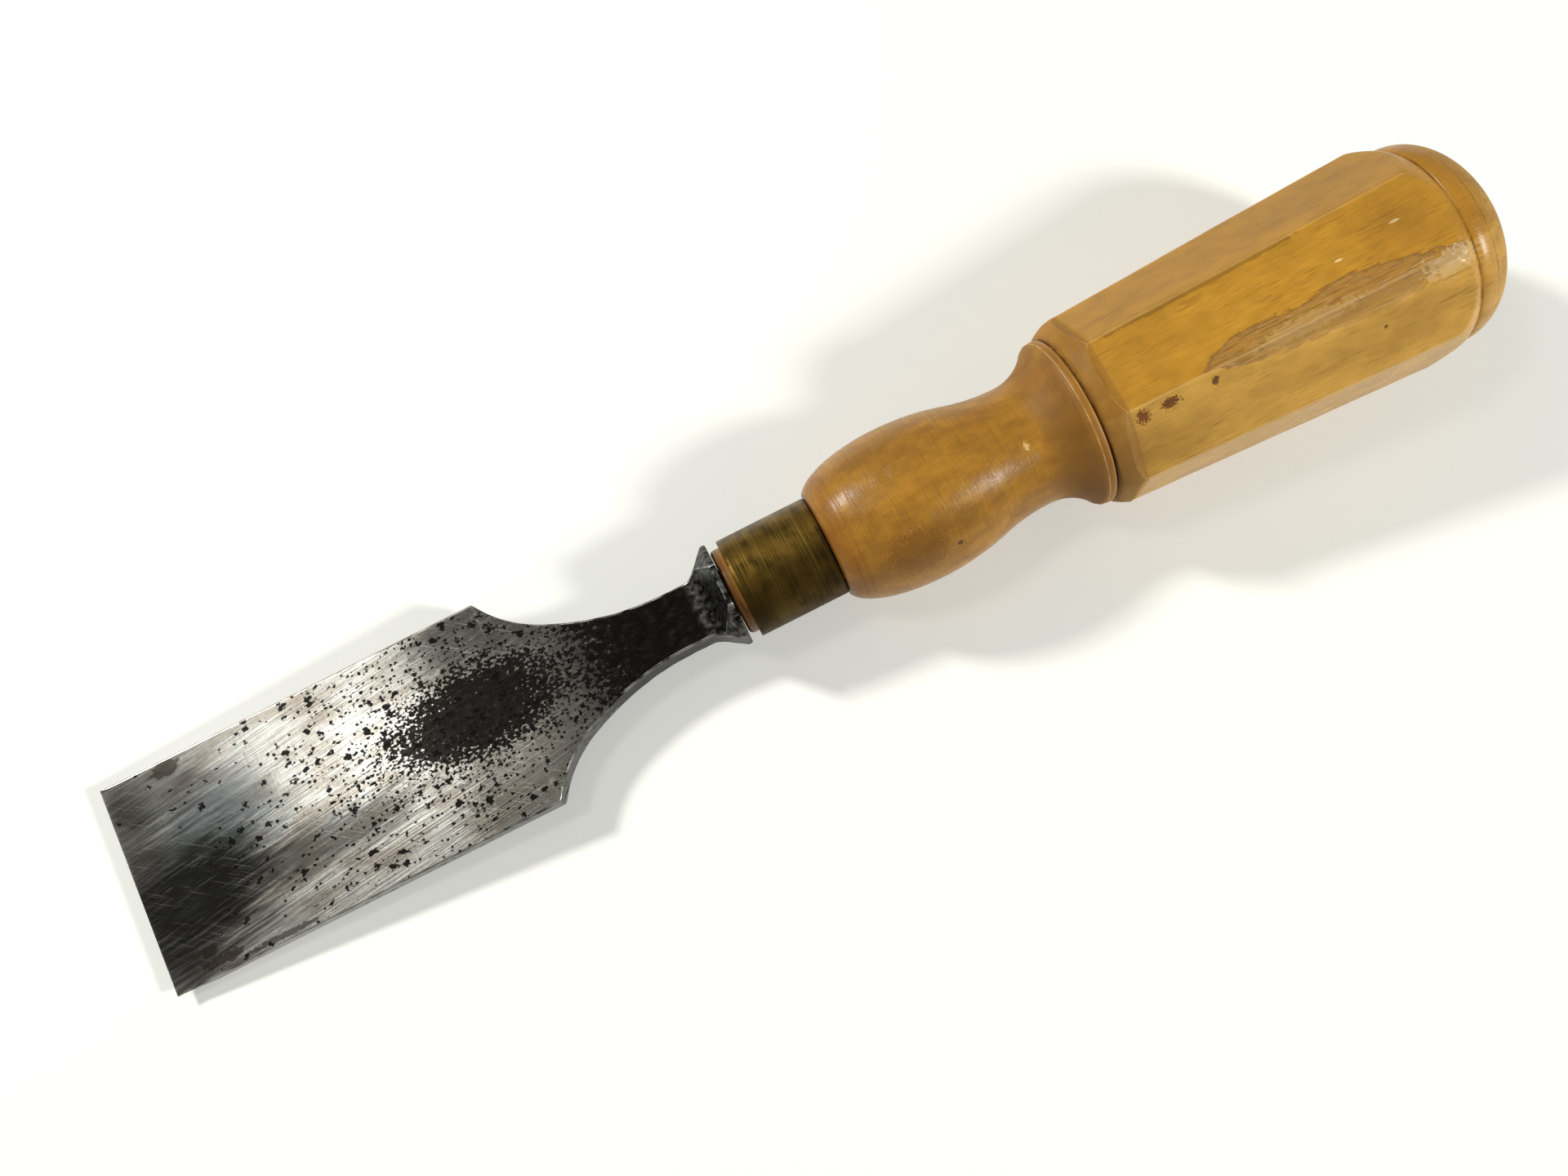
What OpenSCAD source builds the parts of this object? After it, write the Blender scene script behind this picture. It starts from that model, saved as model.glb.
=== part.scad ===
// Old London pattern firmer chisel, lying on a bench with its flat back up.
// Each piece is drawn along the axis of the tool: x runs from the cutting edge to the butt of the handle,
// and z points up, out of the flat back. The finished tool is then laid down on the plane z = 0.

/* [Blade] */
// Width of the blade, which is the nominal size of the chisel
blade_w = 38.1; // [30:0.1:44]
// Length from the cutting edge to the shoulders, short after a lifetime of sharpening
blade_l = 71.2; // [50:0.1:120]
// Thickness of the blade at the heel of the bevel
heel_t = 3.2; // [2.4:0.1:4]
// Thickness of the blade at the shoulders
shoulder_t = 4.6; // [4.1:0.1:6]
// Angle of the ground bevel to the flat back, in degrees
bevel_angle = 26; // [20:1:35]
// Height of the flat back above the axis of the tool
back_rise = 0; // [-1:0.1:1.5]

/* [Neck] */
// Length from the shoulders to the narrowest place of the neck
neck_l = 30.8; // [26:0.1:40]
// Width of the neck at its narrowest
neck_w = 10.7; // [8:0.1:13]
// Thickness of the neck at its narrowest
neck_t = 6.8; // [6:0.1:8]
// Angle to the axis at which the sweep leaves the corner of the shoulder, in degrees
corner_angle = 60; // [50:1:72]
// Angle to the axis at which the tight arc of the sweep runs into the long one, in degrees
sweep_angle = 26.6; // [22:0.1:32]

/* [Bolster] */
// Length from the narrowest place of the neck to the back face of the bolster
bolster_l = 10.1; // [8:0.1:14]
// Width of the eight-sided bolster across its flats
bolster_af = 17.8; // [17:0.1:20]
// Thickness of the bolster's rim
rim_t = 0.9; // [0.5:0.1:1.6]
// Length of the flare from the neck up to the rim
flare_l = 5.6; // [4.5:0.1:6.5]
// Radius of the hollow where the neck runs into the flare
flare_r = 3.5; // [2:0.1:4]
// How far the corners of the neck stay inside the coves that form the bolster's corners
corner_relief = 0.2; // [0.1:0.05:0.5]

/* [Tang] */
// Length of the tang behind the bolster
tang_l = 62; // [45:1:75]
// Side of the square tang at the bolster
tang_w = 7.5; // [6:0.1:9]
// Side of the square tang at its tip
tang_tip_w = 2.6; // [2:0.1:4]
// Clearance between the tang and its hole, on each side
tang_fit = 0.1; // [0.05:0.05:0.3]
// Depth of the empty hole beyond the tip of the tang
tang_spare = 1.5; // [0.5:0.5:5]

/* [Ferrule] */
// Outside diameter of the brass ferrule
ferrule_d = 18.1; // [17.5:0.1:18.6]
// Wall of the ferrule
ferrule_wall = 1.1; // [0.8:0.1:1.4]
// Length of the ferrule
ferrule_l = 16.6; // [12:0.1:22]
// Width of the worn bevel on the outer edges of the ferrule
ferrule_bevel = 0.2; // [0.1:0.05:0.4]
// Clearance between the ferrule and the wood inside it, on each side
ferrule_fit = 0.05; // [0.02:0.01:0.15]
// Gap between the end of the ferrule and the shoulder of the handle
ferrule_gap = 0.1; // [0.05:0.05:0.3]

/* [Tenon] */
// Length of bare wood between the bolster's back face and the ferrule
tenon_bare = 1.9; // [1:0.1:3]
// Gap between the bolster's back face and the end of the wood
bolster_gap = 0.15; // [0.05:0.05:0.4]
// Width of the worn edge at the end of the wood
tenon_bevel = 0.4; // [0.2:0.1:0.8]

/* [Handle bulb] */
// Diameter of the bulb behind the ferrule
bulb_d = 28.2; // [24:0.1:31]
// How far the shoulder of the handle stands out past the ferrule, all round
seat_lip = 0.25; // [0.1:0.05:0.8]
// How far the curve of the bulb would run on inside the edge of that shoulder
seat_tuck = 0.7; // [0.3:0.1:1.2]
// Length from the ferrule shoulder to the fullest place of the bulb
bulb_front_l = 15.9; // [12:0.1:22]
// Length from the fullest place of the bulb to the waist
bulb_back_l = 22.1; // [18:0.1:28]
// Share of that length that is still round before it turns hollow
bulb_share = 0.58; // [0.4:0.01:0.6]
// Diameter of the waist
waist_d = 22.1; // [19:0.1:23]

/* [Handle bead] */
// Length of the cove from the waist up to the bead
cove_l = 8.6; // [7:0.1:12]
// Share of that length that is hollow before it turns round
cove_share = 0.86; // [0.7:0.01:0.9]
// Diameter of the bead
bead_d = 30.8; // [28:0.1:31.6]
// Length of the bead's flat crown, up to the groove
bead_l = 1.1; // [0.6:0.1:2]
// Width of the turned grooves
groove_w = 0.5; // [0.3:0.1:0.8]
// Depth of the turned grooves
groove_depth = 0.5; // [0.2:0.1:0.8]

/* [Handle grip] */
// Length of the turned shoulder between the bead and the flats
shoulder_l = 4.2; // [3:0.1:6]
// How much the foot of the turned shoulder stands above the bead, in radius
shoulder_foot = 0.1; // [0:0.05:0.5]
// Length of the grip, from the turned shoulder to the fullest place near the butt
grip_l = 51.5; // [45:0.1:75]
// Diameter of the turned blank at the front of the grip
blank_front_d = 35.4; // [34:0.1:37]
// Diameter of the turned blank at the back of the grip, and of the ball that rounds it off
blank_back_d = 42; // [39:0.1:43]
// Width across the flats at the front of the grip
flat_front_af = 32.6; // [32:0.1:34]
// Width across the flats at the back of the grip
flat_back_af = 37.1; // [36:0.1:39]
// Radius of the round stop in which each flat starts
flat_stop_r = 4; // [2:0.5:6]
// Length behind the turned shoulder at which the stops have come down to the flats
flat_stop_l = 0.8; // [0:0.1:2]

/* [Handle butt] */
// Length from the fullest place of the grip to the groove at the butt
butt_round_l = 10.3; // [7:0.1:14]
// Length of the domed butt behind its groove
dome_l = 11.7; // [9:0.1:18]
// How far behind the groove the dome's curve is at its fullest
dome_set = 0.7; // [0:0.1:3]

/* [Hidden] */

// Smoothness of round surfaces
$fn = 96;
// Number of straight steps in the sweep of the shoulders, in a long curve and in a short one
sweep_steps = 32;
curve_steps = 16;
short_steps = 8;
// Size of extruded profiles and cuts, which run out past every piece
past_all = 4 * blade_w;
// Number of flats on the grip and on the bolster, and the turn from one to the next in degrees
flat_count = 8;
flat_turn = 360 / flat_count;

// Stations along the axis, from the cutting edge
heel_x = heel_t / tan(bevel_angle);
neck_x = blade_l + neck_l;
bolster_x = neck_x + bolster_l;
rim_x = bolster_x - rim_t;
flare_x = rim_x - flare_l;
tenon_x = bolster_x + bolster_gap;
ferrule_x = bolster_x + tenon_bare;
seat_x = ferrule_x + ferrule_l + ferrule_gap;
bulb_x = seat_x + bulb_front_l;
waist_x = bulb_x + bulb_back_l;
bead_x = waist_x + cove_l;
collar_x = bead_x + bead_l;
shoulder_x = collar_x + groove_w;
grip_x = shoulder_x + shoulder_l;
flat_x = grip_x + flat_stop_l;
fullest_x = grip_x + grip_l;
butt_x = fullest_x + butt_round_l;
dome_x = butt_x + groove_w;

// Heights and radii that are worked out from the sizes
tenon_r = ferrule_d / 2 - ferrule_wall - ferrule_fit;
seat_r = ferrule_d / 2 + seat_lip;
foot_r = bead_d / 2 + shoulder_foot;
ball_r = blank_back_d / 2;
butt_r = sqrt(ball_r * ball_r - butt_round_l * butt_round_l);
flat_slope = (flat_back_af - flat_front_af) / 2 / grip_l;

// The sweep of the shoulders is a tight arc that runs into a long one. These are their radii, from the
// length and depth of the sweep.
sweep_depth = (blade_w - neck_w) / 2;
sweep_det = sin(sweep_angle) * (cos(sweep_angle) - cos(corner_angle))
    - (1 - cos(sweep_angle)) * (sin(corner_angle) - sin(sweep_angle));
tight_r = (sin(sweep_angle) * sweep_depth - (1 - cos(sweep_angle)) * neck_l) / sweep_det;
long_r = ((cos(sweep_angle) - cos(corner_angle)) * neck_l
    - (sin(corner_angle) - sin(sweep_angle)) * sweep_depth) / sweep_det;

// A point of the sweep, where its edge stands at the given angle to the axis
function sweep_point(angle) = angle < sweep_angle
    ? [neck_x - long_r * sin(angle), neck_w / 2 + long_r * (1 - cos(angle))]
    : [neck_x - long_r * sin(sweep_angle) - tight_r * (sin(angle) - sin(sweep_angle)),
       neck_w / 2 + long_r * (1 - cos(sweep_angle)) + tight_r * (cos(sweep_angle) - cos(angle))];

// The sweep from the corner of the shoulder to the narrowest place of the neck
function sweep() = [for (i = [0 : sweep_steps]) sweep_point(corner_angle * (1 - i / sweep_steps))];

// The turn of a flare that starts at the given height and runs straight on to the rim
function flare_turn(height) = let (
    along = flare_l,
    up = bolster_af / 2 - height - flare_r
) atan2(up, along) + asin(flare_r / norm([along, up]));

// A flare from the given height: a hollow, a straight slope, the rim and the back face
function flare(height) = concat(
    [for (i = [0 : short_steps]) let (angle = flare_turn(height) * i / short_steps)
        [flare_x + flare_r * sin(angle), height + flare_r * (1 - cos(angle))]],
    [[rim_x, bolster_af / 2], [bolster_x, bolster_af / 2]]
);

// One long side of the tang, or of its hole, which is the given amount wider
function tang_side(grow, spare) = [
    [bolster_x - spare, tang_w / 2 + grow],
    [bolster_x + tang_l + spare, tang_tip_w / 2 + grow]
];

// One half of the blade seen from above
function plan_half() = concat(
    [[0, blade_w / 2], [blade_l, blade_w / 2]],
    sweep(),
    flare(neck_w / 2),
    tang_side(0, 0)
);

// The under side of the neck, which thickens from the shoulders to the bolster
function neck_under() = [for (i = [0 : short_steps]) let (share = i / short_steps)
    [blade_l + neck_l * share, back_rise - shoulder_t - (neck_t - shoulder_t) * sin(90 * share)]];

// The edges of the blade seen from the side, on top and underneath
function side_top() = concat([[0, back_rise]], flare(back_rise), tang_side(0, 0));
function side_under() = concat(
    [[heel_x, back_rise - heel_t]],
    neck_under(),
    flip(flare(neck_t - back_rise)),
    flip(tang_side(0, 0))
);

// Points mirrored about the axis, and points in reverse order
function flip(points) = [for (p = points) [p.x, -p.y]];
function reverse(points) = [for (i = [len(points) - 1 : -1 : 0]) points[i]];

// Two arcs that run into each other between two places where the surface lies along the axis
function ogee(x0, r0, x1, r1, share) = let (
    run = x1 - x0,
    rise = abs(r1 - r0),
    way = sign(r1 - r0),
    radii = (run * run + rise * rise) / (2 * rise),
    first = radii * share,
    second = radii - first,
    turn = asin(run / radii)
) concat(
    [for (i = [0 : short_steps]) let (angle = turn * i / short_steps)
        [x0 + first * sin(angle), r0 + way * first * (1 - cos(angle))]],
    [for (i = [short_steps - 1 : -1 : 0]) let (angle = turn * i / short_steps)
        [x1 - second * sin(angle), r1 - way * second * (1 - cos(angle))]]
);

// Part of an ellipse about a place on the axis side, from one angle to another, 0 being its crown
function ellipse_part(x, r, along, up, from, to) = [for (i = [0 : curve_steps])
    let (angle = from + (to - from) * i / curve_steps)
    [x + along * sin(angle), r + up * cos(angle)]];

// A small turned groove that starts at the given station
function groove(x, r) = [[x, r], [x + groove_w / 2, r - groove_depth], [x + groove_w, r]];

// The round of the bulb in front of its fullest place, a quarter of an ellipse cut off by the seat
function bulb_front() = let (
    up = bulb_d / 2 - seat_r + seat_tuck,
    cut = acos(seat_tuck / up)
) ellipse_part(bulb_x, seat_r - seat_tuck, bulb_front_l / sin(cut), up, -cut, 0);

// The turned shoulder, from the groove up to the grip
function shoulder_round() = ellipse_part(
    grip_x, foot_r, shoulder_l, blank_front_d / 2 - foot_r, -90, 0);

// The dome of the butt, part of an ellipse that is fullest behind the groove
function dome() = let (
    along = dome_l - dome_set,
    start = -asin(dome_set / along),
    up = butt_r / cos(start)
) ellipse_part(dome_x + dome_set, 0, along, up, start, 90);

// The turned outline of the handle, from the end of the tenon to the end of the dome. The rounding at the
// butt is a part of a ball, which is added to it.
function turned_outline() = concat(
    [[tenon_x, 0], [tenon_x, tenon_r - tenon_bevel], [tenon_x + tenon_bevel, tenon_r], [seat_x, tenon_r]],
    bulb_front(),
    ogee(bulb_x, bulb_d / 2, waist_x, waist_d / 2, bulb_share),
    ogee(waist_x, waist_d / 2, bead_x, bead_d / 2, cove_share),
    groove(collar_x, bead_d / 2),
    shoulder_round(),
    [[fullest_x, ball_r]],
    groove(butt_x, butt_r),
    dome()
);

// Distance from the axis, at a station, of the planed flats and of the round stops that they start in
function flat_height(x) = flat_front_af / 2 + (x - grip_x) * flat_slope;
function stop_height(x) = flat_height(x) + flat_stop_r
    - sqrt(flat_stop_r * flat_stop_r - (x - flat_x) * (x - flat_x));

// How far the handle reaches at a point of its outline, down the middle of the lowest flat
function reach(p) = p.x > flat_x ? min(p.y, flat_height(p.x))
    : p.x > flat_x - flat_stop_r ? min(p.y, stop_height(p.x))
    : p.y;

// The tool lies on the heel of its bevel and on the lowest place of the handle. This is how steeply the
// handle's axis climbs away from the bench.
lie_slope = max([for (p = turned_outline()) (reach(p) - heel_t + back_rise) / (p.x - heel_x)]);
lie_angle = atan(lie_slope);
lie_low = heel_x * sin(lie_angle) - (heel_t - back_rise) * cos(lie_angle);
lie_front = -back_rise * sin(lie_angle);
lie_back = max([for (p = turned_outline()) p.x * cos(lie_angle) + p.y * sin(lie_angle)]);

// Lays the tool on the bench, with the middle of its length above the origin
module laid_down() {
    translate([-(lie_front + lie_back) / 2, 0, -lie_low])
        rotate([0, -lie_angle, 0])
            children();
}

// A profile seen from above, given by its far half
module from_above(half) {
    linear_extrude(height = past_all, center = true)
        polygon(concat(half, reverse(flip(half))));
}

// A profile seen from the side, given by its top and its under side
module from_side(top, under) {
    rotate([90, 0, 0])
        linear_extrude(height = past_all, center = true)
            polygon(concat(top, reverse(under)));
}

// What is cut away outside one corner cove of the bolster, whose neck corner has the given depth
module corner_cove(depth) {
    edge = flare(depth + corner_relief);
    outer = past_all / 2;
    rotate([90, 0, 0])
        linear_extrude(height = past_all, center = true)
            polygon(concat(edge, [[bolster_x + rim_t, bolster_af / 2], [bolster_x + rim_t, outer],
                [flare_x, outer]]));
}

// The depth of a neck corner along the diagonal, for a corner at the given height
function corner_depth(height) = (neck_w / 2 + height) * cos(flat_turn);

// Forged blade, neck, bolster and tang in one piece
module blade() {
    color([0.38, 0.37, 0.35])
        laid_down()
            difference() {
                intersection() {
                    from_above(plan_half());
                    from_side(side_top(), side_under());
                }
                for (side = [-1, 1]) {
                    rotate([side * flat_turn, 0, 0])
                        corner_cove(corner_depth(back_rise));
                    rotate([side * (180 - flat_turn), 0, 0])
                        corner_cove(corner_depth(neck_t - back_rise));
                }
            }
}

// Brass tube that keeps the wood from splitting
module ferrule() {
    outer = ferrule_d / 2;
    bore = outer - ferrule_wall;
    color([0.55, 0.45, 0.2])
        laid_down()
            translate([ferrule_x, 0, 0])
                rotate([0, 90, 0])
                    rotate_extrude()
                        polygon([
                            [bore, 0],
                            [outer - ferrule_bevel, 0],
                            [outer, ferrule_bevel],
                            [outer, ferrule_l - ferrule_bevel],
                            [outer - ferrule_bevel, ferrule_l],
                            [bore, ferrule_l]
                        ]);
}

// Tapered square hole for the tang
module tang_hole() {
    side = tang_side(tang_fit, tang_spare);
    intersection() {
        from_above(side);
        from_side(side, flip(side));
    }
}

// The part of a ball that rounds off the grip, as a profile from the axis
module butt_round() {
    intersection() {
        translate([0, fullest_x])
            circle(ball_r);
        translate([0, fullest_x])
            square([past_all, butt_round_l]);
    }
}

// Side view of what a flat takes away: a hollow stop at its front, and the flat behind it
module flat_profile() {
    square(past_all);
    translate([-flat_stop_r, flat_stop_r])
        square([flat_stop_r, past_all]);
    intersection() {
        translate([0, flat_stop_r])
            circle(flat_stop_r);
        translate([-flat_stop_r, 0])
            square(flat_stop_r);
    }
}

// What is taken off on one side of the grip
module planed_away() {
    translate([flat_x, 0, flat_height(flat_x)])
        rotate([90, -atan(flat_slope), 0])
            linear_extrude(height = past_all, center = true)
                flat_profile();
}

// Turned boxwood handle with eight planed flats
module handle() {
    color([0.74, 0.52, 0.24])
        laid_down()
            difference() {
                rotate([0, 90, 0])
                    rotate_extrude() {
                        polygon([for (p = turned_outline()) [p.y, p.x]]);
                        butt_round();
                    }
                tang_hole();
                for (i = [0 : flat_count - 1])
                    rotate([flat_turn * i, 0, 0])
                        planed_away();
            }
}

blade();
ferrule();
handle();
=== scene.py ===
"""Dresses the old firmer chisel: its forged blade, brass ferrule and boxwood handle.

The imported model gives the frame. The tool's own sizes are in millimetres: x runs from the cutting
edge to the butt, the flat back of the blade lies at z = 0 and the handle's axis is the x axis.
"""
import logging
import math
from bisect import bisect_right
from dataclasses import dataclass, field
from enum import IntEnum
from typing import Any

import bmesh
import bpy
from mathutils import Matrix, Vector, noise


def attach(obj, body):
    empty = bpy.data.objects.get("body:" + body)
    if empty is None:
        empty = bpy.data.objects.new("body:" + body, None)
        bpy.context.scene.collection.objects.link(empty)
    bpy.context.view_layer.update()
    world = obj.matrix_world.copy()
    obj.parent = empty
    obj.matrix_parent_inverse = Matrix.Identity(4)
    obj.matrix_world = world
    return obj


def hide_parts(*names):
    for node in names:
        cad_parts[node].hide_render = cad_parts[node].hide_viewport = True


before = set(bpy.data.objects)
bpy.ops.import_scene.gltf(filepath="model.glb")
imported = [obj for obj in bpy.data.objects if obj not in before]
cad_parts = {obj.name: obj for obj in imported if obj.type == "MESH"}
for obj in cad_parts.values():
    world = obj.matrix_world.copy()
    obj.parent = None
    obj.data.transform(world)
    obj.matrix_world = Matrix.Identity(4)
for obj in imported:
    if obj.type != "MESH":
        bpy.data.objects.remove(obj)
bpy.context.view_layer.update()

log = logging.getLogger("chisel")

Point = tuple[float, float]
Size = tuple[float, float, float]
Socket = bpy.types.NodeSocket

SOFT = {"interpolation_type": "SMOOTHSTEP"}
EIGHTH = math.pi / 4
ROOT_2 = math.sqrt(2)
# points nearer to each other than this become one
WELD = 0.0005
# what stands for a distance anywhere away from an arris
FAR = 9.0


def srgb(code: str) -> tuple[float, float, float, float]:
    """Turns a hex colour into the linear values that Blender's sockets take.

    Args:
        code: The colour as it looks, such as "#C08A38".

    Returns:
        Red, green, blue and a full alpha.
    """
    parts = [int(code[i:i + 2], 16) / 255 for i in (1, 3, 5)]
    linear = [p / 12.92 if p <= 0.04045 else ((p + 0.055) / 1.055) ** 2.4 for p in parts]
    return linear[0], linear[1], linear[2], 1.0


def soft_min(a: float, b: float, reach: float) -> float:
    """Gives the smaller of two sizes, worn round where they are less than a reach apart."""
    near = max(reach - abs(a - b), 0.0) / reach
    return min(a, b) - near * near * reach / 4


def between(points: tuple[Point, ...], at: float) -> float:
    """Reads a broken line at one place, and holds its end values beyond it.

    Args:
        points: The line's points, in order along it.
        at: The place.

    Returns:
        The line's height there.
    """
    i = bisect_right([p[0] for p in points], at)
    if i == 0 or i == len(points):
        return points[min(i, len(points) - 1)][1]
    (x0, y0), (x1, y1) = points[i - 1], points[i]
    return y0 + (y1 - y0) * (at - x0) / (x1 - x0)


def spread(start: float, end: float, step: float) -> list[float]:
    """Lists even places, at most a step apart, from one end up to, but not at, the other."""
    count = max(1, math.ceil(abs(end - start) / step))
    return [start + (end - start) * i / count for i in range(count)]


def wave(x: float, y: float, z: float) -> float:
    """Gives a smooth unevenness between -1 and 1 at a place."""
    return noise.noise(Vector((x, y, z)))


def off_flat(angle: float) -> float:
    """Gives how far an angle is from the middle of the nearest of the handle's eight flats."""
    return abs((angle + EIGHTH / 2) % EIGHTH - EIGHTH / 2)


@dataclass(frozen=True)
class Lie:
    """How the tool lies on the bench, on its bevel's heel and its turned shoulder."""

    tilt: float = math.radians(4.636918149)
    low: float = -2.659129675
    mid: float = 128.176263872
    millimetre: float = 0.001

    def to_bench(self) -> Matrix:
        """Gives the move from the tool's millimetres to the frame's metres."""
        lift = Matrix.Translation((-self.mid, 0, -self.low))
        return Matrix.Scale(self.millimetre, 4) @ lift @ Matrix.Rotation(-self.tilt, 4, "Y")

    def origin_in_tool(self) -> Size:
        """Gives the frame's origin in the tool's millimetres."""
        c, s = math.cos(self.tilt), math.sin(self.tilt)
        return self.mid * c + self.low * s, 0.0, self.low * c - self.mid * s


class Wiring:
    """The nodes of one material or of the room."""

    def __init__(self, tree: bpy.types.NodeTree) -> None:
        """Starts with an empty tree of nodes."""
        self.tree = tree
        tree.nodes.clear()

    def add(self, kind: str, *values: Any, out: int | str = 0, named: dict | None = None,
            **settings: Any) -> Socket:
        """Adds one node with its settings and links.

        Args:
            kind: The node's type, without its ShaderNode beginning.
            *values: Values or links for its first inputs, in order.
            out: Which output to give back.
            named: Values or links for its other inputs, by name or number.
            **settings: The node's own settings.

        Returns:
            The chosen output.
        """
        node = self.tree.nodes.new("ShaderNode" + kind)
        for key, value in settings.items():
            setattr(node, key, value)
        for key, value in (dict(enumerate(values)) | (named or {})).items():
            if isinstance(value, Socket):
                self.tree.links.new(value, node.inputs[key])
            else:
                node.inputs[key].default_value = value
        return node.outputs[out]

    def times(self, tone: Socket, by: Socket | float, plus: Socket | float = 0.0) -> Socket:
        """Multiplies one tone and adds another."""
        return self.add("Math", tone, by, plus, operation="MULTIPLY_ADD")

    def end(self, kind: str, shader: Socket) -> None:
        """Joins the finished shader to the output of a Material or a World."""
        node = self.tree.nodes.new("ShaderNodeOutput" + kind)
        self.tree.links.new(shader, node.inputs["Surface"])


@dataclass(frozen=True)
class Mark:
    """One mark, among stains, chips, smudges and patches of painted shade.

    at and half are its middle and half size, along the tool and across it or round it. grains is
    how far fine grains break its edge, and grain is their size in millimetres.
    """

    at: Point
    half: Point
    colour: str
    amount: float
    ragged: float = 0.25
    edge: float = 0.8
    grains: float = 0.0
    grain: float = 0.3


@dataclass(frozen=True)
class Band:
    """A line or band round the tool: its middle, and how far off it is full and gone."""

    at: float
    full: float
    gone: float
    colour: str
    amount: float


class Finish(Wiring):
    """A material's nodes, its colour so far, and the tool's own coordinates.

    A pair of places in a finish is along the tool: where a change begins and where it is full.
    """

    name: str
    relief: float

    def __init__(self, lie: Lie) -> None:
        """Starts an empty material.

        Args:
            lie: How the tool lies, for its coordinates.
        """
        self.material = bpy.data.materials.new(self.name)
        self.material.use_nodes = True
        super().__init__(self.material.node_tree)
        self.colour: Any = (1.0, 1.0, 1.0, 1.0)
        self.tool = self.add("Mapping", self.add("TexCoord", out="Object"), lie.origin_in_tool(),
                             (0, lie.tilt, 0), (1 / lie.millimetre,) * 3)
        self.x, self.y, self.z = (self.add("SeparateXYZ", self.tool, out=i) for i in range(3))
        turn = self.add("Math", self.y, self.z, operation="ARCTAN2")
        self.angle = self.times(turn, 180 / math.pi)

    def slant(self, slope: float) -> Socket:
        """Leans the tool's coordinates, so that marks along the tool run across it at a slope."""
        return self.add("CombineXYZ", self.x, self.times(self.x, -slope, self.y), self.z)

    def uneven(self, size: Size, detail: float = 3.0, shift: float = 0.0,
               where: Socket | None = None) -> Socket:
        """Makes an uneven tone whose blotches have a real size along each axis.

        Args:
            size: The blotches' length, width and height in millimetres.
            detail: How many finer levels it has.
            shift: Moves the pattern, so that two of them differ.
            where: The coordinates, if not the tool's.

        Returns:
            A tone about 0.5.
        """
        spot = self.add("Mapping", where or self.tool, (shift, -shift, shift),
                        named={"Scale": tuple(1 / s for s in size)})
        return self.add("TexNoise", named={"Vector": spot, "Scale": 1.0, "Detail": detail})

    def patch(self, centre: Point, half: Point, ragged: float, edge: float,
              across: Socket | None = None, torn: Socket | None = None) -> Socket:
        """Marks an oval patch with a ragged edge on the surface.

        Args:
            centre: Its place along the tool and across it.
            half: Its half length and half width.
            ragged: How far noise moves its edge, as a share of its size.
            edge: How soft the edge is, as a share of its size.
            across: What the second coordinate is, if not y.
            torn: The noise that moves its edge, if not a plain one.

        Returns:
            1 inside the patch and 0 outside it.
        """
        flat = self.add("CombineXYZ", self.x, across or self.y, 0.0)
        off = self.add("VectorMath", flat, (*centre, 0), operation="SUBTRACT")
        share = self.add("VectorMath", off, (*half, 1), operation="DIVIDE")
        far = self.add("VectorMath", share, out="Value", operation="LENGTH")
        moved = self.times(torn or self.uneven((min(half) * 0.8,) * 3, 5.0, centre[0]),
                           ragged * 4, far)
        middle = 1 + ragged * 2
        return self.add("MapRange", moved, middle + edge, middle - edge, **SOFT)

    def line(self, value: Socket, centre: float, inner: float, outer: float) -> Socket:
        """Marks a line or band where a value is near its centre.

        Args:
            value: What is measured, such as the place along the tool.
            centre: The line's middle.
            inner: How far the full mark reaches from it.
            outer: Where the mark is gone.

        Returns:
            1 on the line and 0 away from it.
        """
        off = self.add("Math", value, centre, operation="SUBTRACT")
        far = self.add("Math", off, operation="ABSOLUTE")
        return self.add("MapRange", far, outer, inner, **SOFT)

    def grainy(self, mask: Socket, size: float, reach: float, shift: float = 0.0) -> Socket:
        """Breaks the soft edge of a mask into fine grains, and leaves its middle whole.

        Args:
            mask: The soft mask.
            size: The grains' size in millimetres.
            reach: How far the grains reach over the soft edge, up to 1.
            shift: Moves the grains.

        Returns:
            The grainy mask.
        """
        moved = self.times(self.uneven((size * 1.3, size, size), 4.0, shift), reach * 3, mask)
        middle = 0.5 + reach * 1.5
        grains = self.add("MapRange", moved, middle - 0.05, middle + 0.05, **SOFT)
        return self.add("Math", grains, self.times(mask, 12.0), operation="MINIMUM")

    def pitted(self, cell: float, size: float, crowd: Socket, shift: float = 0.0) -> Socket:
        """Scatters ragged spots of mixed sizes over the metal.

        Args:
            cell: How far apart the places for a spot are, in millimetres.
            size: The largest spot's radius, as a share of that.
            crowd: From 0, where every place has a spot, to 1, where none has.
            shift: Moves the spots.

        Returns:
            1 on a spot and 0 between them.
        """
        across = self.add("Math", self.y, self.z, operation="ADD")
        flat = self.add("CombineXYZ", self.x, across, shift)
        spot = self.add("Mapping", flat, (shift, shift, 0),
                        named={"Scale": (0.8 / cell, 1 / cell, 1.0)})
        ragged = self.add("TexNoise", out="Color",
                          named={"Vector": spot, "Scale": 3.0, "Detail": 4.0})
        moved = self.add("VectorMath", ragged, (1.1, 1.1, 0), spot, operation="MULTIPLY_ADD")
        far = self.add("TexVoronoi", out="Distance", named={"Vector": moved, "Scale": 1.0},
                       voronoi_dimensions="2D")
        chance = self.add("SeparateXYZ", far.node.outputs["Color"])
        crowd = self.add("Math", crowd, 0.99, operation="MINIMUM")
        radius = self.add("MapRange", chance, crowd, 1.0, 0.0, size)
        inside = self.add("Math", radius, far, operation="SUBTRACT")
        return self.add("MapRange", inside, 0.0, 0.04)

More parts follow.
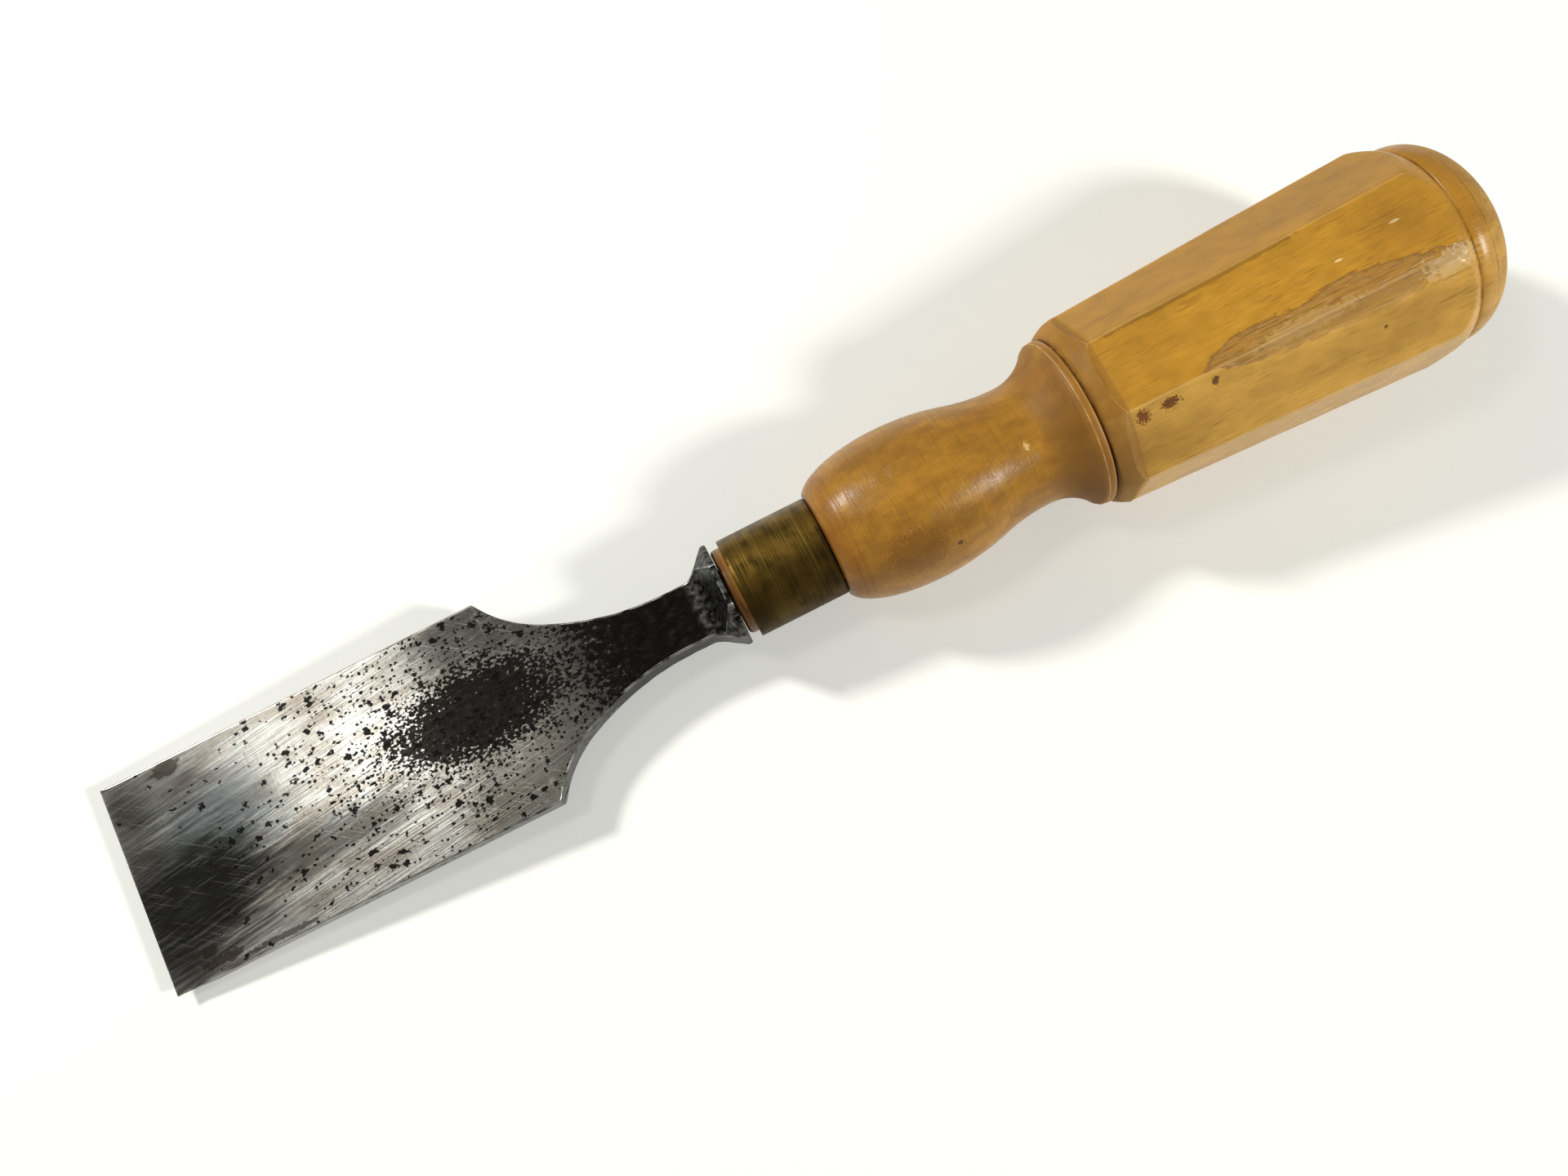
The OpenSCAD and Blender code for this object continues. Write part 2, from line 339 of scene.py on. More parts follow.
    def lay(self, colour: str, mask: Socket, amount: float = 1.0,
            within: Socket | None = None) -> None:
        """Lays a colour over what is there, where a mask is set.

        Args:
            colour: The colour as a hex value.
            mask: Where it shows.
            amount: How much of it shows there.
            within: A second mask that limits the first.
        """
        if within:
            mask = self.times(mask, within)
        share = self.add("Math", mask, amount, operation="MULTIPLY", use_clamp=True)
        self.colour = self.add("Mix", share, out=2, named={6: self.colour, 7: srgb(colour)},
                               data_type="RGBA")

    def mark(self, marks: tuple[Mark, ...], across: Socket | None = None,
             torn: Socket | None = None) -> None:
        """Lays marks over the colour, one after the other.

        Args:
            marks: The marks.
            across: What their second coordinate is, if not y.
            torn: The noise that moves their edges, if not a plain one.
        """
        for mark in marks:
            mask = self.patch(mark.at, mark.half, mark.ragged, mark.edge, across, torn)
            if mark.grains:
                mask = self.grainy(mask, mark.grain, mark.grains, mark.at[0])
            self.lay(mark.colour, mask, mark.amount)

    def band(self, bands: tuple[Band, ...], within: Socket | None = None) -> None:
        """Lays lines and bands round the tool.

        Args:
            bands: The bands.
            within: What breaks them.
        """
        for band in bands:
            mask = self.line(self.x, band.at, band.full, band.gone)
            self.lay(band.colour, mask, band.amount, within)

    def dress(self, height: Socket, rough: Socket, others: dict) -> bpy.types.Material:
        """Joins the colour, gloss and relief into the finished material.

        Args:
            height: The fine relief, from 0 to 1.
            rough: The roughness.
            others: The shader's other values.

        Returns:
            The material.
        """
        normal = self.add("Bump", named={"Height": height, "Strength": 1.0,
                                         "Distance": self.relief * 0.001})
        self.end("Material", self.add("BsdfPrincipled", named={
            "Base Color": self.colour, "Roughness": rough, "Normal": normal, **others}))
        return self.material


class ForgedSteel(Finish):
    """Old carbon steel, forged, and ground flat on a coarse stone.

    It has a streaky shine along the scratches, a darker front with grey and brown stains and black
    pits, painted shade that dulls it towards the shoulders and narrows the lamp's highlight, and
    dull black forge scale on the neck and bolster, whose arrises are worn bright and also carry a
    painted highlight.
    """

    name: str = "forged_carbon_steel"
    ground: str = "#9D9C94"
    worn: str = "#7C756A"
    dull: str = "#46433D"
    scale: str = "#0D0C0A"
    stain_and_shade: str = "#191916"
    rust: str = "#28201A"
    bright: str = "#C8C6BE"
    blued: str = "#444C50"
    gloss: float = 0.25
    scaled_gloss: float = 0.42
    relief: float = 0.015
    # the stone's scratches are nearer 0.1 mm wide, and are drawn coarser so that they show
    scratch: Size = (9.0, 0.3, 0.3)
    cross_scratch: Size = (0.35, 5.0, 5.0)
    hair: Size = (14.0, 0.17, 0.17)
    deep_scratch: Size = (22.0, 0.5, 0.5)
    streaks: Size = (8.0, 0.7, 0.7)
    lean: float = 0.13
    cross: float = -0.7
    # painted shade: where the steel is dulled, and where its shoulders are darkened
    painted_shade: Point = (42.0, 66.0)
    shoulders: Point = (62.0, 88.0)
    neck: Point = (72.0, 98.0)
    flare: Point = (105.0, 109.0)
    half_width: float = 18.8
    # darker in front; the patches at x 46, 50 and 68 are painted shade that narrows the highlight
    stains: tuple[Mark, ...] = (
        Mark((9, -5), (13.5, 10.5), stain_and_shade, 0.95, 0.39, 0.56),
        Mark((33, -6.8), (19, 4), stain_and_shade, 0.75, 0.39, 0.56),
        Mark((2, 2), (5, 22), stain_and_shade, 0.65, 0.13, 0.56),
        Mark((5, -14), (11, 5), stain_and_shade, 0.6, 0.325, 0.48),
        Mark((68, 14), (10, 7), stain_and_shade, 0.75, 0.26, 0.64),
        Mark((46, -15), (24, 5), stain_and_shade, 0.34, 0.26, 0.64),
        Mark((50, 15), (14, 5), stain_and_shade, 0.32, 0.26, 0.64),
        Mark((8, 14), (9, 5), stain_and_shade, 0.6, 0.325, 0.48),
        Mark((14, -4), (7, 6), stain_and_shade, 0.7, 0.39, 0.64))
    rusty: tuple[Mark, ...] = (
        Mark((11.5, 17.3), (2.6, 1.3), rust, 0.7, 0.3, 0.6, 0.6, 0.7),
        Mark((7.5, -14.6), (1.4, 1.0), rust, 0.7, 0.3, 0.6, 0.6, 0.7),
        Mark((9.5, -16.8), (3.2, 0.9), rust, 0.7, 0.3, 0.6, 0.6, 0.7),
        Mark((20, -17.9), (7, 0.5), rust, 0.7, 0.3, 0.6, 0.6, 0.7))

    def scratched(self, leaning: Socket) -> Socket:
        """Draws the ground steel with its scratches, and painted shade that dulls it towards the
        shoulders.

        Args:
            leaning: The coordinates that the stone's strokes follow.

        Returns:
            The strokes, for the relief.
        """
        self.colour = srgb(self.ground)
        shade = self.uneven((11, 4, 4), 5.0)
        self.lay(self.worn, self.add("MapRange", shade, 0.38, 0.66, **SOFT), 0.9)
        strokes = self.times(self.uneven(self.cross_scratch, 3.0, 15.0), 0.25,
                             self.uneven(self.scratch, 3.0, 5.0, leaning))
        tone = self.add("MapRange", strokes, 0.42, 0.84, 0.62, 1.3)
        self.colour = self.add("HueSaturation", named={"Color": self.colour, "Value": tone})
        hair = self.uneven(self.hair, 2.0, 24.0, leaning)
        self.lay(self.dull, self.add("MapRange", hair, 0.58, 0.68), 0.5)
        # painted shade: dulls the steel past x 42 and darkens the shoulders, narrowing the
        # highlight
        painted_shade = self.add("MapRange", self.x, *self.painted_shade, **SOFT)
        self.lay(self.dull, painted_shade, 0.68)
        self.lay(self.dull, self.grainy(self.times(painted_shade, 0.62), 1.6, 0.3, 40.0), 0.6)
        self.lay(self.stain_and_shade, self.add("MapRange", self.x, *self.shoulders, **SOFT), 0.75)
        return strokes

    def stained(self, leaning: Socket) -> None:
        """Lays the blued patch, stains, painted shade, light scratches and rust over the steel.

        Args:
            leaning: The coordinates that the stone's strokes follow.
        """
        torn_blue, torn = (self.uneven(self.streaks, 5.0, shift, leaning) for shift in (3.0, 13.0))
        self.lay(self.blued, self.patch((17, 4.5), (10, 8), 0.3, 0.6, torn=torn_blue), 0.75)
        self.mark(self.stains, torn=torn)
        for place, thick, shift in ((leaning, 0.16, 36.0), (self.slant(self.cross), 0.2, 43.0)):
            marks = self.uneven((7.0, thick, thick), 2.0, shift, place)
            self.lay(self.ground, self.add("MapRange", marks, 0.62, 0.72), 0.28)
        self.mark(self.rusty)

    def pits(self) -> Socket:
        """Scatters pits and specks, few in front and more towards the black patch.

        Returns:
            1 in a pit.
        """
        where = self.uneven((12, 9, 9), 2.0, 77.0)
        near = self.patch((62.0, 1.6), (26.0, 13.0), 0.15, 0.8)
        far_out = self.add("Math", self.y, operation="ABSOLUTE")
        on_side = self.add("MapRange", far_out, self.half_width - 0.1, self.half_width + 0.1,
                           0.3, 0.55)
        covers = []
        for cell, size, start, end, full, gain in ((1.9, 0.33, 1.0, 0.5, 36.0, -0.2),
                                                   (0.75, 0.4, 1.05, 0.6, 60.0, -0.5)):
            crowd = self.add("MapRange", self.x, 5.0, full, start, end)
            crowd = self.times(where, -0.6, self.times(near, gain, crowd))
            crowd = self.add("Math", crowd, on_side, operation="ADD")
            covers.append(self.pitted(cell, size, crowd, cell * 10))
        return self.add("Math", *covers, operation="MAXIMUM")

    def scaled(self) -> tuple[Socket, Socket]:
        """Lays black scale over the patch, the neck and the bolster, worn off the arrises, which
        are painted bright both as bare steel and as a highlight.

        Returns:
            Where the scale is, and where it has worn thin.
        """
        bare = self.grainy(self.patch((64.5, 1.6), (16.0, 7.0), 0.2, 0.8), 0.6, 0.8, 12.0)
        neck = self.grainy(self.add("MapRange", self.x, *self.neck), 0.8, 0.5, 18.0)
        black = self.add("Math", bare, neck, operation="MAXIMUM")
        self.lay(self.scale, black, 0.95)
        thin = self.add("MapRange", self.uneven((1.6, 0.9, 0.9), 5.0, 64.0), 0.5, 0.7)
        thin = self.times(thin, black)
        self.lay(self.dull, thin, 0.1)
        rubbed = self.add("MapRange", self.uneven((1.5, 0.9, 0.9), 4.0, 50.0), 0.42, 0.76)
        self.lay(self.ground, rubbed, 0.55, self.add("MapRange", self.x, *self.flare))
        # painted highlight: the arrises are painted bright, as worn bare steel and as a highlight
        # line
        edge = self.add("Attribute", out="Fac", attribute_name="edge")
        broken = self.add("MapRange", self.uneven((3, 3, 3), 4.0, 29.0), 0.4, 0.6)
        self.lay(self.bright, edge, 0.85, broken)
        return black, thin

    def make(self) -> bpy.types.Material:
        """Builds the steel: bright, darker in front, with painted shade at the shoulders, and black
        at the neck.

        Returns:
            The finished material.
        """
        leaning = self.slant(self.lean)
        strokes = self.scratched(leaning)
        self.stained(leaning)
        pits = self.pits()
        self.lay(self.scale, pits, 0.97)
        black, thin = self.scaled()
        cover = self.add("Math", pits, black, operation="MAXIMUM")
        height = self.times(strokes, 0.9, self.uneven(self.deep_scratch, 2.0, 9.0, leaning))
        for lost in (thin, cover):
            height = self.times(lost, -1.5, height)
        rough = self.add("MapRange", cover, 0.0, 1.0, self.gloss, self.scaled_gloss)
        return self.dress(height, rough, {"Metallic": 1.0})


class TarnishedBrass(Finish):
    """Drawn brass tube, turned bright once and since tarnished.

    It has olive and brown clouds, with fine bright rings where the turning still shows, and painted
    shade on its lower side.
    """

    name: str = "tarnished_brass"
    bright: str = "#AC8A40"
    olive: str = "#685020"
    brown: str = "#362810"
    grime_and_shade: str = "#2A200C"
    relief: float = 0.02
    cloud: Size = (3.0, 3.5, 3.5)
    # turning marks are nearer 0.05 mm apart, and are drawn coarser so that they show
    ring: Size = (0.12, 20.0, 20.0)

    def make(self) -> bpy.types.Material:
        """Builds the brass: fine turned rings, a dark cloud and band, and its lower side darker
        with tarnish and painted shade.

        Returns:
            The finished material.
        """
        cloud, rings = self.uneven(self.cloud, 4.0), self.uneven(self.ring, 4.0, 4.0)
        self.colour = self.add("ValToRGB", cloud)
        stops = self.colour.node.color_ramp.elements
        for stop, place, code in zip(stops, (0.36, 0.58), (self.brown, self.olive)):
            stop.position, stop.color = place, srgb(code)
        self.lay(self.bright, self.add("MapRange", rings, 0.48, 0.68), 0.38)
        # painted shade: the lower side is darkened along with its tarnish, and a dark band runs at
        # -33°
        side = self.add("Math", self.angle, operation="ABSOLUTE")
        low = self.times(self.add("MapRange", side, 22.0, 62.0, **SOFT),
                         self.add("MapRange", self.angle, 20.0, -20.0))
        dirty = self.patch((115.2, -55.0), (2.0, 26.0), 0.25, 0.7, self.angle)
        for mask, amount in ((low, 0.65), (self.line(self.angle, -33.0, 6.0, 36.0), 0.6),
                             (dirty, 0.8)):
            self.lay(self.grime_and_shade, mask, amount)
        rough = self.times(low, 0.2, self.add("MapRange", cloud, 0.3, 0.7, 0.42, 0.28))
        return self.dress(rings, rough, {"Metallic": 1.0})


class PolishedBoxwood(Finish):
    """Boxwood, turned and planed, under an old amber polish that hands have worn.

    It is a fine, even, yellow wood with short brown flecks, rings from the lathe on the turned
    front, dirt in its grooves and pale rubbed arrises. Painted light and shade tone the flats by
    how they face the lamps, darken the cove and the gap at the tenon, and brighten the crest and
    the bead's lips.
    """

    name: str = "polished_boxwood"
    amber: str = "#BC882C"
    turned: str = "#A87726"
    left: str = "#B88424"
    right: str = "#D0A04A"
    pale: str = "#C29440"
    dark: str = "#7E5420"
    grime_and_shade: str = "#3E2712"
    ochre: str = "#86481C"
    bare: str = "#A47838"
    brown_fibre: str = "#66441C"
    thread: str = "#DCBA80"
    faded: str = "#D2AC6E"
    bleached: str = "#DCBC84"
    rubbed: str = "#DDB878"
    nick: str = "#F0D49A"
    ior: float = 1.4
    shine: float = 0.3
    relief: float = 0.022
    # the fibres and the lathe's marks are finer than 0.1 mm, and are drawn coarser to show
    fibre: Size = (7.0, 0.28, 0.28)
    ring: Size = (0.3, 9.0, 9.0)
    lathe_scratch: Size = (0.2, 7.0, 7.0)
    fleck: Size = (4.5, 0.42, 0.42)
    front: Point = (184.0, 178.0)
    grip: Point = (178.6, 179.4)
    dome: Point = (247.0, 250.0)
    cove: float = 174.0
    bead: float = 177.75
    shoulder: float = 180.9
    specks: tuple[Mark, ...] = (
        Mark((184.8, -29.0), (1.1, 3.8), "#5E2210", 0.85, 0.1, 0.7, 1.0),
        Mark((189.8, -28.3), (1.6, 3.0), "#521A0C", 0.85, 0.1, 0.7, 1.0),
        Mark((197.8, -28.0), (0.7, 2.2), "#4A2A14", 0.85, 0.1, 0.7, 0.8),
        Mark((150.2, -57.0), (0.5, 2.0), "#1E140C", 0.85, 0.1, 0.7, 0.1),
        Mark((235.2, 4.0), (0.9, 0.7), nick, 0.85, 0.1, 0.7, 0.4),
        Mark((224.3, -1.0), (0.7, 0.6), nick, 0.85, 0.1, 0.7, 0.4),
        Mark((227.5, -44.0), (0.4, 1.0), "#5A3818", 0.85, 0.1, 0.7, 0.4),
        Mark((166.9, -15.0), (0.5, 3.6), "#DCB878", 0.85, 0.1, 0.7, 0.9),
        Mark((143.0, -50.0), (5.0, 18.0), "#744A16", 0.6, 0.1, 0.7, 1.0))
    # darker patches of the wood, several of them along its lower side
    dark_patches: tuple[Mark, ...] = (
        Mark((142.0, -50.0), (8, 26), dark, 0.4), Mark((144.0, 42.0), (7, 16), dark, 0.35),
        Mark((180.6, -52.0), (2.6, 34), dark, 0.6), Mark((180.6, 20.0), (2.6, 40), dark, 0.1),
        Mark((228.0, 46.0), (32, 20), dark, 0.2), Mark((240.0, 0.0), (14, 20), dark, 0.15),
        Mark((188.0, 2.0), (8, 18), dark, 0.15), Mark((249.5, 15.0), (3, 26), dark, 0.35),
        Mark((187.0, -52.0), (9, 16), dark, 0.4), Mark((232.0, -50.0), (10, 14), dark, 0.3),
        Mark((160.0, 10.0), (9, 30), dark, 0.2), Mark((210.0, -48.0), (12, 9), dark, 0.2),
        Mark((190.0, 42.0), (8, 14), dark, 0.2), Mark((236.0, 5.0), (5, 12), dark, 0.25),
        Mark((171.0, -66.0), (8, 18), dark, 0.35))
    # the pale lines at 177.1 and 178.25 are the bead's and groove's rubbed lips with a painted
    # highlight
    broken_lines: tuple[Band, ...] = (
        Band(178.65, 0.12, 0.42, "#451A0C", 0.8), Band(245.15, 0.05, 0.3, grime_and_shade, 0.7),
        Band(133.2, 0.0, 0.2, grime_and_shade, 0.5), Band(134.4, 0.0, 0.18, grime_and_shade, 0.35),
        Band(248.6, 0.0, 0.25, grime_and_shade, 0.55), Band(177.1, 0.03, 0.16, rubbed, 0.6),
        Band(178.25, 0.0, 0.12, rubbed, 0.5))
    # a dirty joint line behind the ferrule, and painted shade over the tenon in the gap before it
    joint_line_and_gap_shade: tuple[Band, ...] = (
        Band(130.75, 0.05, 0.4, grime_and_shade, 0.7), Band(112.3, 0.8, 1.35, grime_and_shade, 0.92))
    ochre_bands: tuple[Band, ...] = (
        Band(177.6, 0.1, 0.5, ochre, 0.9), Band(246.6, 0.6, 2.2, ochre, 0.35),
        Band(132.5, 1.0, 3.0, ochre, 0.6))

    def facet_tones_and_painted_light(self) -> None:
        """Tones the turned front and each flat: wear from hands, and painted light and shade by the
        way each flat faces the lamps.
        """
        self.colour = srgb(self.turned)
        grip = self.add("MapRange", self.x, *self.grip)
        self.lay(self.amber, grip)
        side = self.add("Math", self.angle, operation="ABSOLUTE")
        # painted light and shade: the flats on each side and low down get their own tones
        for value, start, end, code in ((self.angle, 21.8, 23.2, self.left),
                                        (self.angle, -21.8, -23.2, self.right),
                                        (side, 66.0, 69.0, self.pale)):
            self.lay(code, self.add("MapRange", value, start, end), 0.9, grip)
        self.lay(self.pale, self.add("MapRange", self.x, 247.5, 251.0, **SOFT), 0.75)

    def grain(self, fibres: Socket, turned: Socket, front: Socket) -> None:
        """Draws the grain, its clouds and mottle, and the short brown flecks.

        Args:
            fibres: The fine fibres.
            turned: The lathe's rings on the turned front.
            front: 1 on the turned front and 0 on the grip.
        """
        tone, blotches = self.uneven((9, 4, 4), 6.0), self.uneven((3.5, 2.5, 2.5), 5.0, 33.0)
        for part, share in ((fibres, 0.8), (blotches, 0.9), (turned, 0.35)):
            tone = self.times(part, share, tone)
        tone = self.add("MapRange", tone, 0.92, 1.83, 0.74, 1.2)
        self.colour = self.add("HueSaturation", named={"Color": self.colour, "Value": tone})
        mottle = self.uneven((4.5, 3, 3), 6.0, 91.0)
        capped = self.add("MapRange", self.x, *self.dome, 0.0, 0.6)
        self.lay(self.dark, self.add("MapRange", mottle, 0.38, 0.64, 0.0, 0.55),
                 within=self.add("Math", front, capped, operation="MAXIMUM"))
        bias = self.times(self.uneven((12, 5, 5), 3.0, 60.0), 0.6,
                          self.uneven(self.fleck, 1.0, 8.0))
        planed = self.add("MapRange", front, 1.0, 0.0, 0.3, 1.0)
        self.lay(self.dark, self.add("MapRange", bias, 0.9, 1.12, **SOFT), 0.42, planed)

    def handled(self, cove: Socket, dome: Socket) -> None:
        """Paints shade into the cove, most on its lower side, darkens the shoulder, clears the bead
        and draws the end grain's fine checks.

        Args:
            cove: 1 in the cove in front of the bead.
            dome: 1 on the dome, where the checks run out from the middle.
        """
        # painted shade: the cove in front of the bead is darkened, most on its lower side
        lower = self.add("MapRange", self.angle, 20.0, -50.0, 0.65, 1.0)
        self.lay(self.dark, cove, 0.8, lower)
        self.lay(self.dark, self.line(self.x, self.shoulder, 1.9, 2.3), 0.4)
        self.lay(self.pale, self.line(self.x, self.bead, 0.45, 0.6), 0.3)
        fan = self.add("CombineXYZ", self.times(self.angle, 0.22), self.times(self.x, 0.25), 0.0)
        checks = self.add("TexNoise", named={"Vector": fan, "Scale": 1.0, "Detail": 4.0})
        self.lay(self.dark, self.add("MapRange", checks, 0.6, 0.7), 0.5, dome)

    def worn_streak(self) -> Socket:
        """Bares the fibrous wood of the worn streak, with a dark rim and a bleached end.

        Returns:
            The streak's fibres, for the relief.
        """
        streak = self.add("Attribute", out="Fac", attribute_name="streak")
        inside = self.times(self.uneven((2.4, 0.7, 0.7), 4.0, 6.0), 2.2, streak)
        upper = self.add("MapRange", self.angle, -34.0, -24.0, 0.3, 1.0)
        worn = self.times(self.add("MapRange", inside, 1.0, 1.25, **SOFT), upper)
        self.lay(self.bare, worn, 0.85)
        self.lay(self.dark, self.line(inside, 1.15, 0.05, 0.35), 0.6, upper)
        fibrous = self.uneven((5, 0.3, 0.3), 4.0, 15.0)
        fibrous = self.times(self.add("MapRange", fibrous, 0.48, 0.64), worn)
        self.lay(self.brown_fibre, fibrous, 0.5)
        threads = self.uneven((4, 0.3, 0.3), 3.0, 51.0)
        threads = self.times(self.add("MapRange", threads, 0.58, 0.72),
                             self.add("MapRange", self.x, 202.0, 212.0, 0.3, 1.0))
        self.lay(self.thread, threads, 0.4, worn)
        middle = self.patch((215.0, -23.0), (9.0, 4.5), 0.2, 0.8, self.angle)
        self.lay(self.faded, self.grainy(middle, 0.6, 0.7, 30.0), 0.3)
        end = self.patch((240.5, -27.0), (4.5, 6.0), 0.2, 0.8, self.angle)
        self.lay(self.bleached, self.grainy(end, 0.6, 0.9, 3.0), 0.5)
        return fibrous

    def dirtied(self, rings: Socket) -> None:
        """Puts dirt in the grooves and painted shade in the gap at the tenon, ochre stains beside
        the grooves, and rubs the arrises pale, with a painted highlight along the flats' crest.

        Args:
            rings: The lathe's rings.
        """
        broken = self.add("MapRange", self.uneven((3, 3, 3), 3.0, 70.0), 0.3, 0.6)
        self.band(self.broken_lines, broken)
        self.band(self.joint_line_and_gap_shade)
        # painted shade: the tenon darkens in the gap between the bolster and the ferrule
        self.lay(self.dark, self.add("MapRange", self.x, 114.6, 113.8), 0.6)
        self.band(self.ochre_bands, rings)
        seam = self.times(self.line(self.angle, 21.3, 0.3, 2.6),
                          self.line(self.x, 203.0, 5.0, 30.0))
        self.lay(self.grime_and_shade, self.grainy(seam, 0.8, 0.35, 5.0), 0.35)
        # pale arrises: rubbed, with a painted highlight along the crest where the flats stop
        arris = self.add("Attribute", out="Fac", attribute_name="arris")
        wear_and_crest_highlight = self.times(self.line(self.x, 181.5, 1.4, 1.8), 0.4, 0.3)
        self.lay(self.rubbed, self.add("MapRange", arris, 0.35, 0.0, **SOFT), within=wear_and_crest_highlight)

    def make(self) -> bpy.types.Material:
        """Builds the wood: fine straight grain, brown flecks, stains and dirt in the grooves, and
        painted light and shade.

        Returns:
            The finished material.
        """
        front, dome = (self.add("MapRange", self.x, *ends) for ends in (self.front, self.dome))
        fibres, rings = self.uneven(self.fibre, 3.0, 3.0), self.uneven(self.ring, 3.0, 21.0)
        lathe = self.uneven(self.lathe_scratch, 2.0, 44.0)
        lathe = self.times(self.add("MapRange", lathe, 0.52, 0.68), front)
        turned, cove = self.times(rings, front), self.line(self.x, self.cove, 1.5, 6.0)

        self.facet_tones_and_painted_light()
        self.grain(fibres, turned, front)
        self.handled(cove, dome)
        self.lay(self.dark, lathe, 0.4)
        fibrous = self.worn_streak()
        self.mark(self.specks + self.dark_patches, self.angle)
        self.dirtied(rings)

        rough = self.add("MapRange", fibres, 0.3, 0.7, 0.22, 0.36)
        matt = self.add("Math", cove, self.line(self.x, self.shoulder, 2.0, 2.8),
                        operation="MAXIMUM")
        for where, more in ((dome, 0.28), (matt, 0.3)):
            rough = self.times(where, more, rough)
        height = fibres
        for lines, share in ((turned, 1.2), (lathe, -0.6), (fibrous, -1.5)):
            height = self.times(lines, share, height)
        return self.dress(height, rough, {"IOR": self.ior, "Specular IOR Level": self.shine})


@dataclass
class Piece:
    """What each piece of the tool has: its node and slot, and its place on the bench."""

    lie: Lie
    name: str
    node: str
    slot: str
    finish: ForgedSteel | TarnishedBrass | PolishedBoxwood
    sharp: float = math.radians(42)

    def settle(self, shape: bmesh.types.BMesh) -> bpy.types.Object:
        """Puts a finished shape on the bench, dresses it and hands it to the frame.

        Args:
            shape: The piece in the tool's millimetres.

        Returns:
            The piece's object.
        """
        bmesh.ops.remove_doubles(shape, verts=shape.verts, dist=WELD)
        bmesh.ops.recalc_face_normals(shape, faces=shape.faces)
        shape.transform(self.lie.to_bench())
        for face in shape.faces:
            face.smooth = True
        mesh = bpy.data.meshes.new(self.name)
        shape.to_mesh(mesh)
        shape.free()
        mesh.set_sharp_from_angle(angle=self.sharp)
        mesh.materials.append(self.finish.make())
        piece = bpy.data.objects.new(self.name, mesh)
        bpy.context.scene.collection.objects.link(piece)
        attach(piece, "root")
        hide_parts(self.node)
        log.info("%s: %d points, %d faces", self.name, len(mesh.vertices), len(mesh.polygons))
        return piece


@dataclass(frozen=True)
class Section:
    """One cross-section of the forging: half width, top, bottom and its two pairs of corners."""

    x: float
    wide: float
    top: float
    bottom: float
    top_corner: float
    low_corner: float

    def corners(self) -> list[Vector]:
        """Gives the eight corners in order round the section, starting at the top on the left.

        Returns:
            The corners, each as y and z.
        """
        up, low = ROOT_2 * self.top_corner, ROOT_2 * self.low_corner
        half = [Vector((up - self.top, self.top)), Vector((self.wide, up - self.wide)),
                Vector((self.wide, self.wide - low)), Vector((low - self.bottom, -self.bottom))]
        return half + [Vector((-p.x, p.y)) for p in reversed(half)]


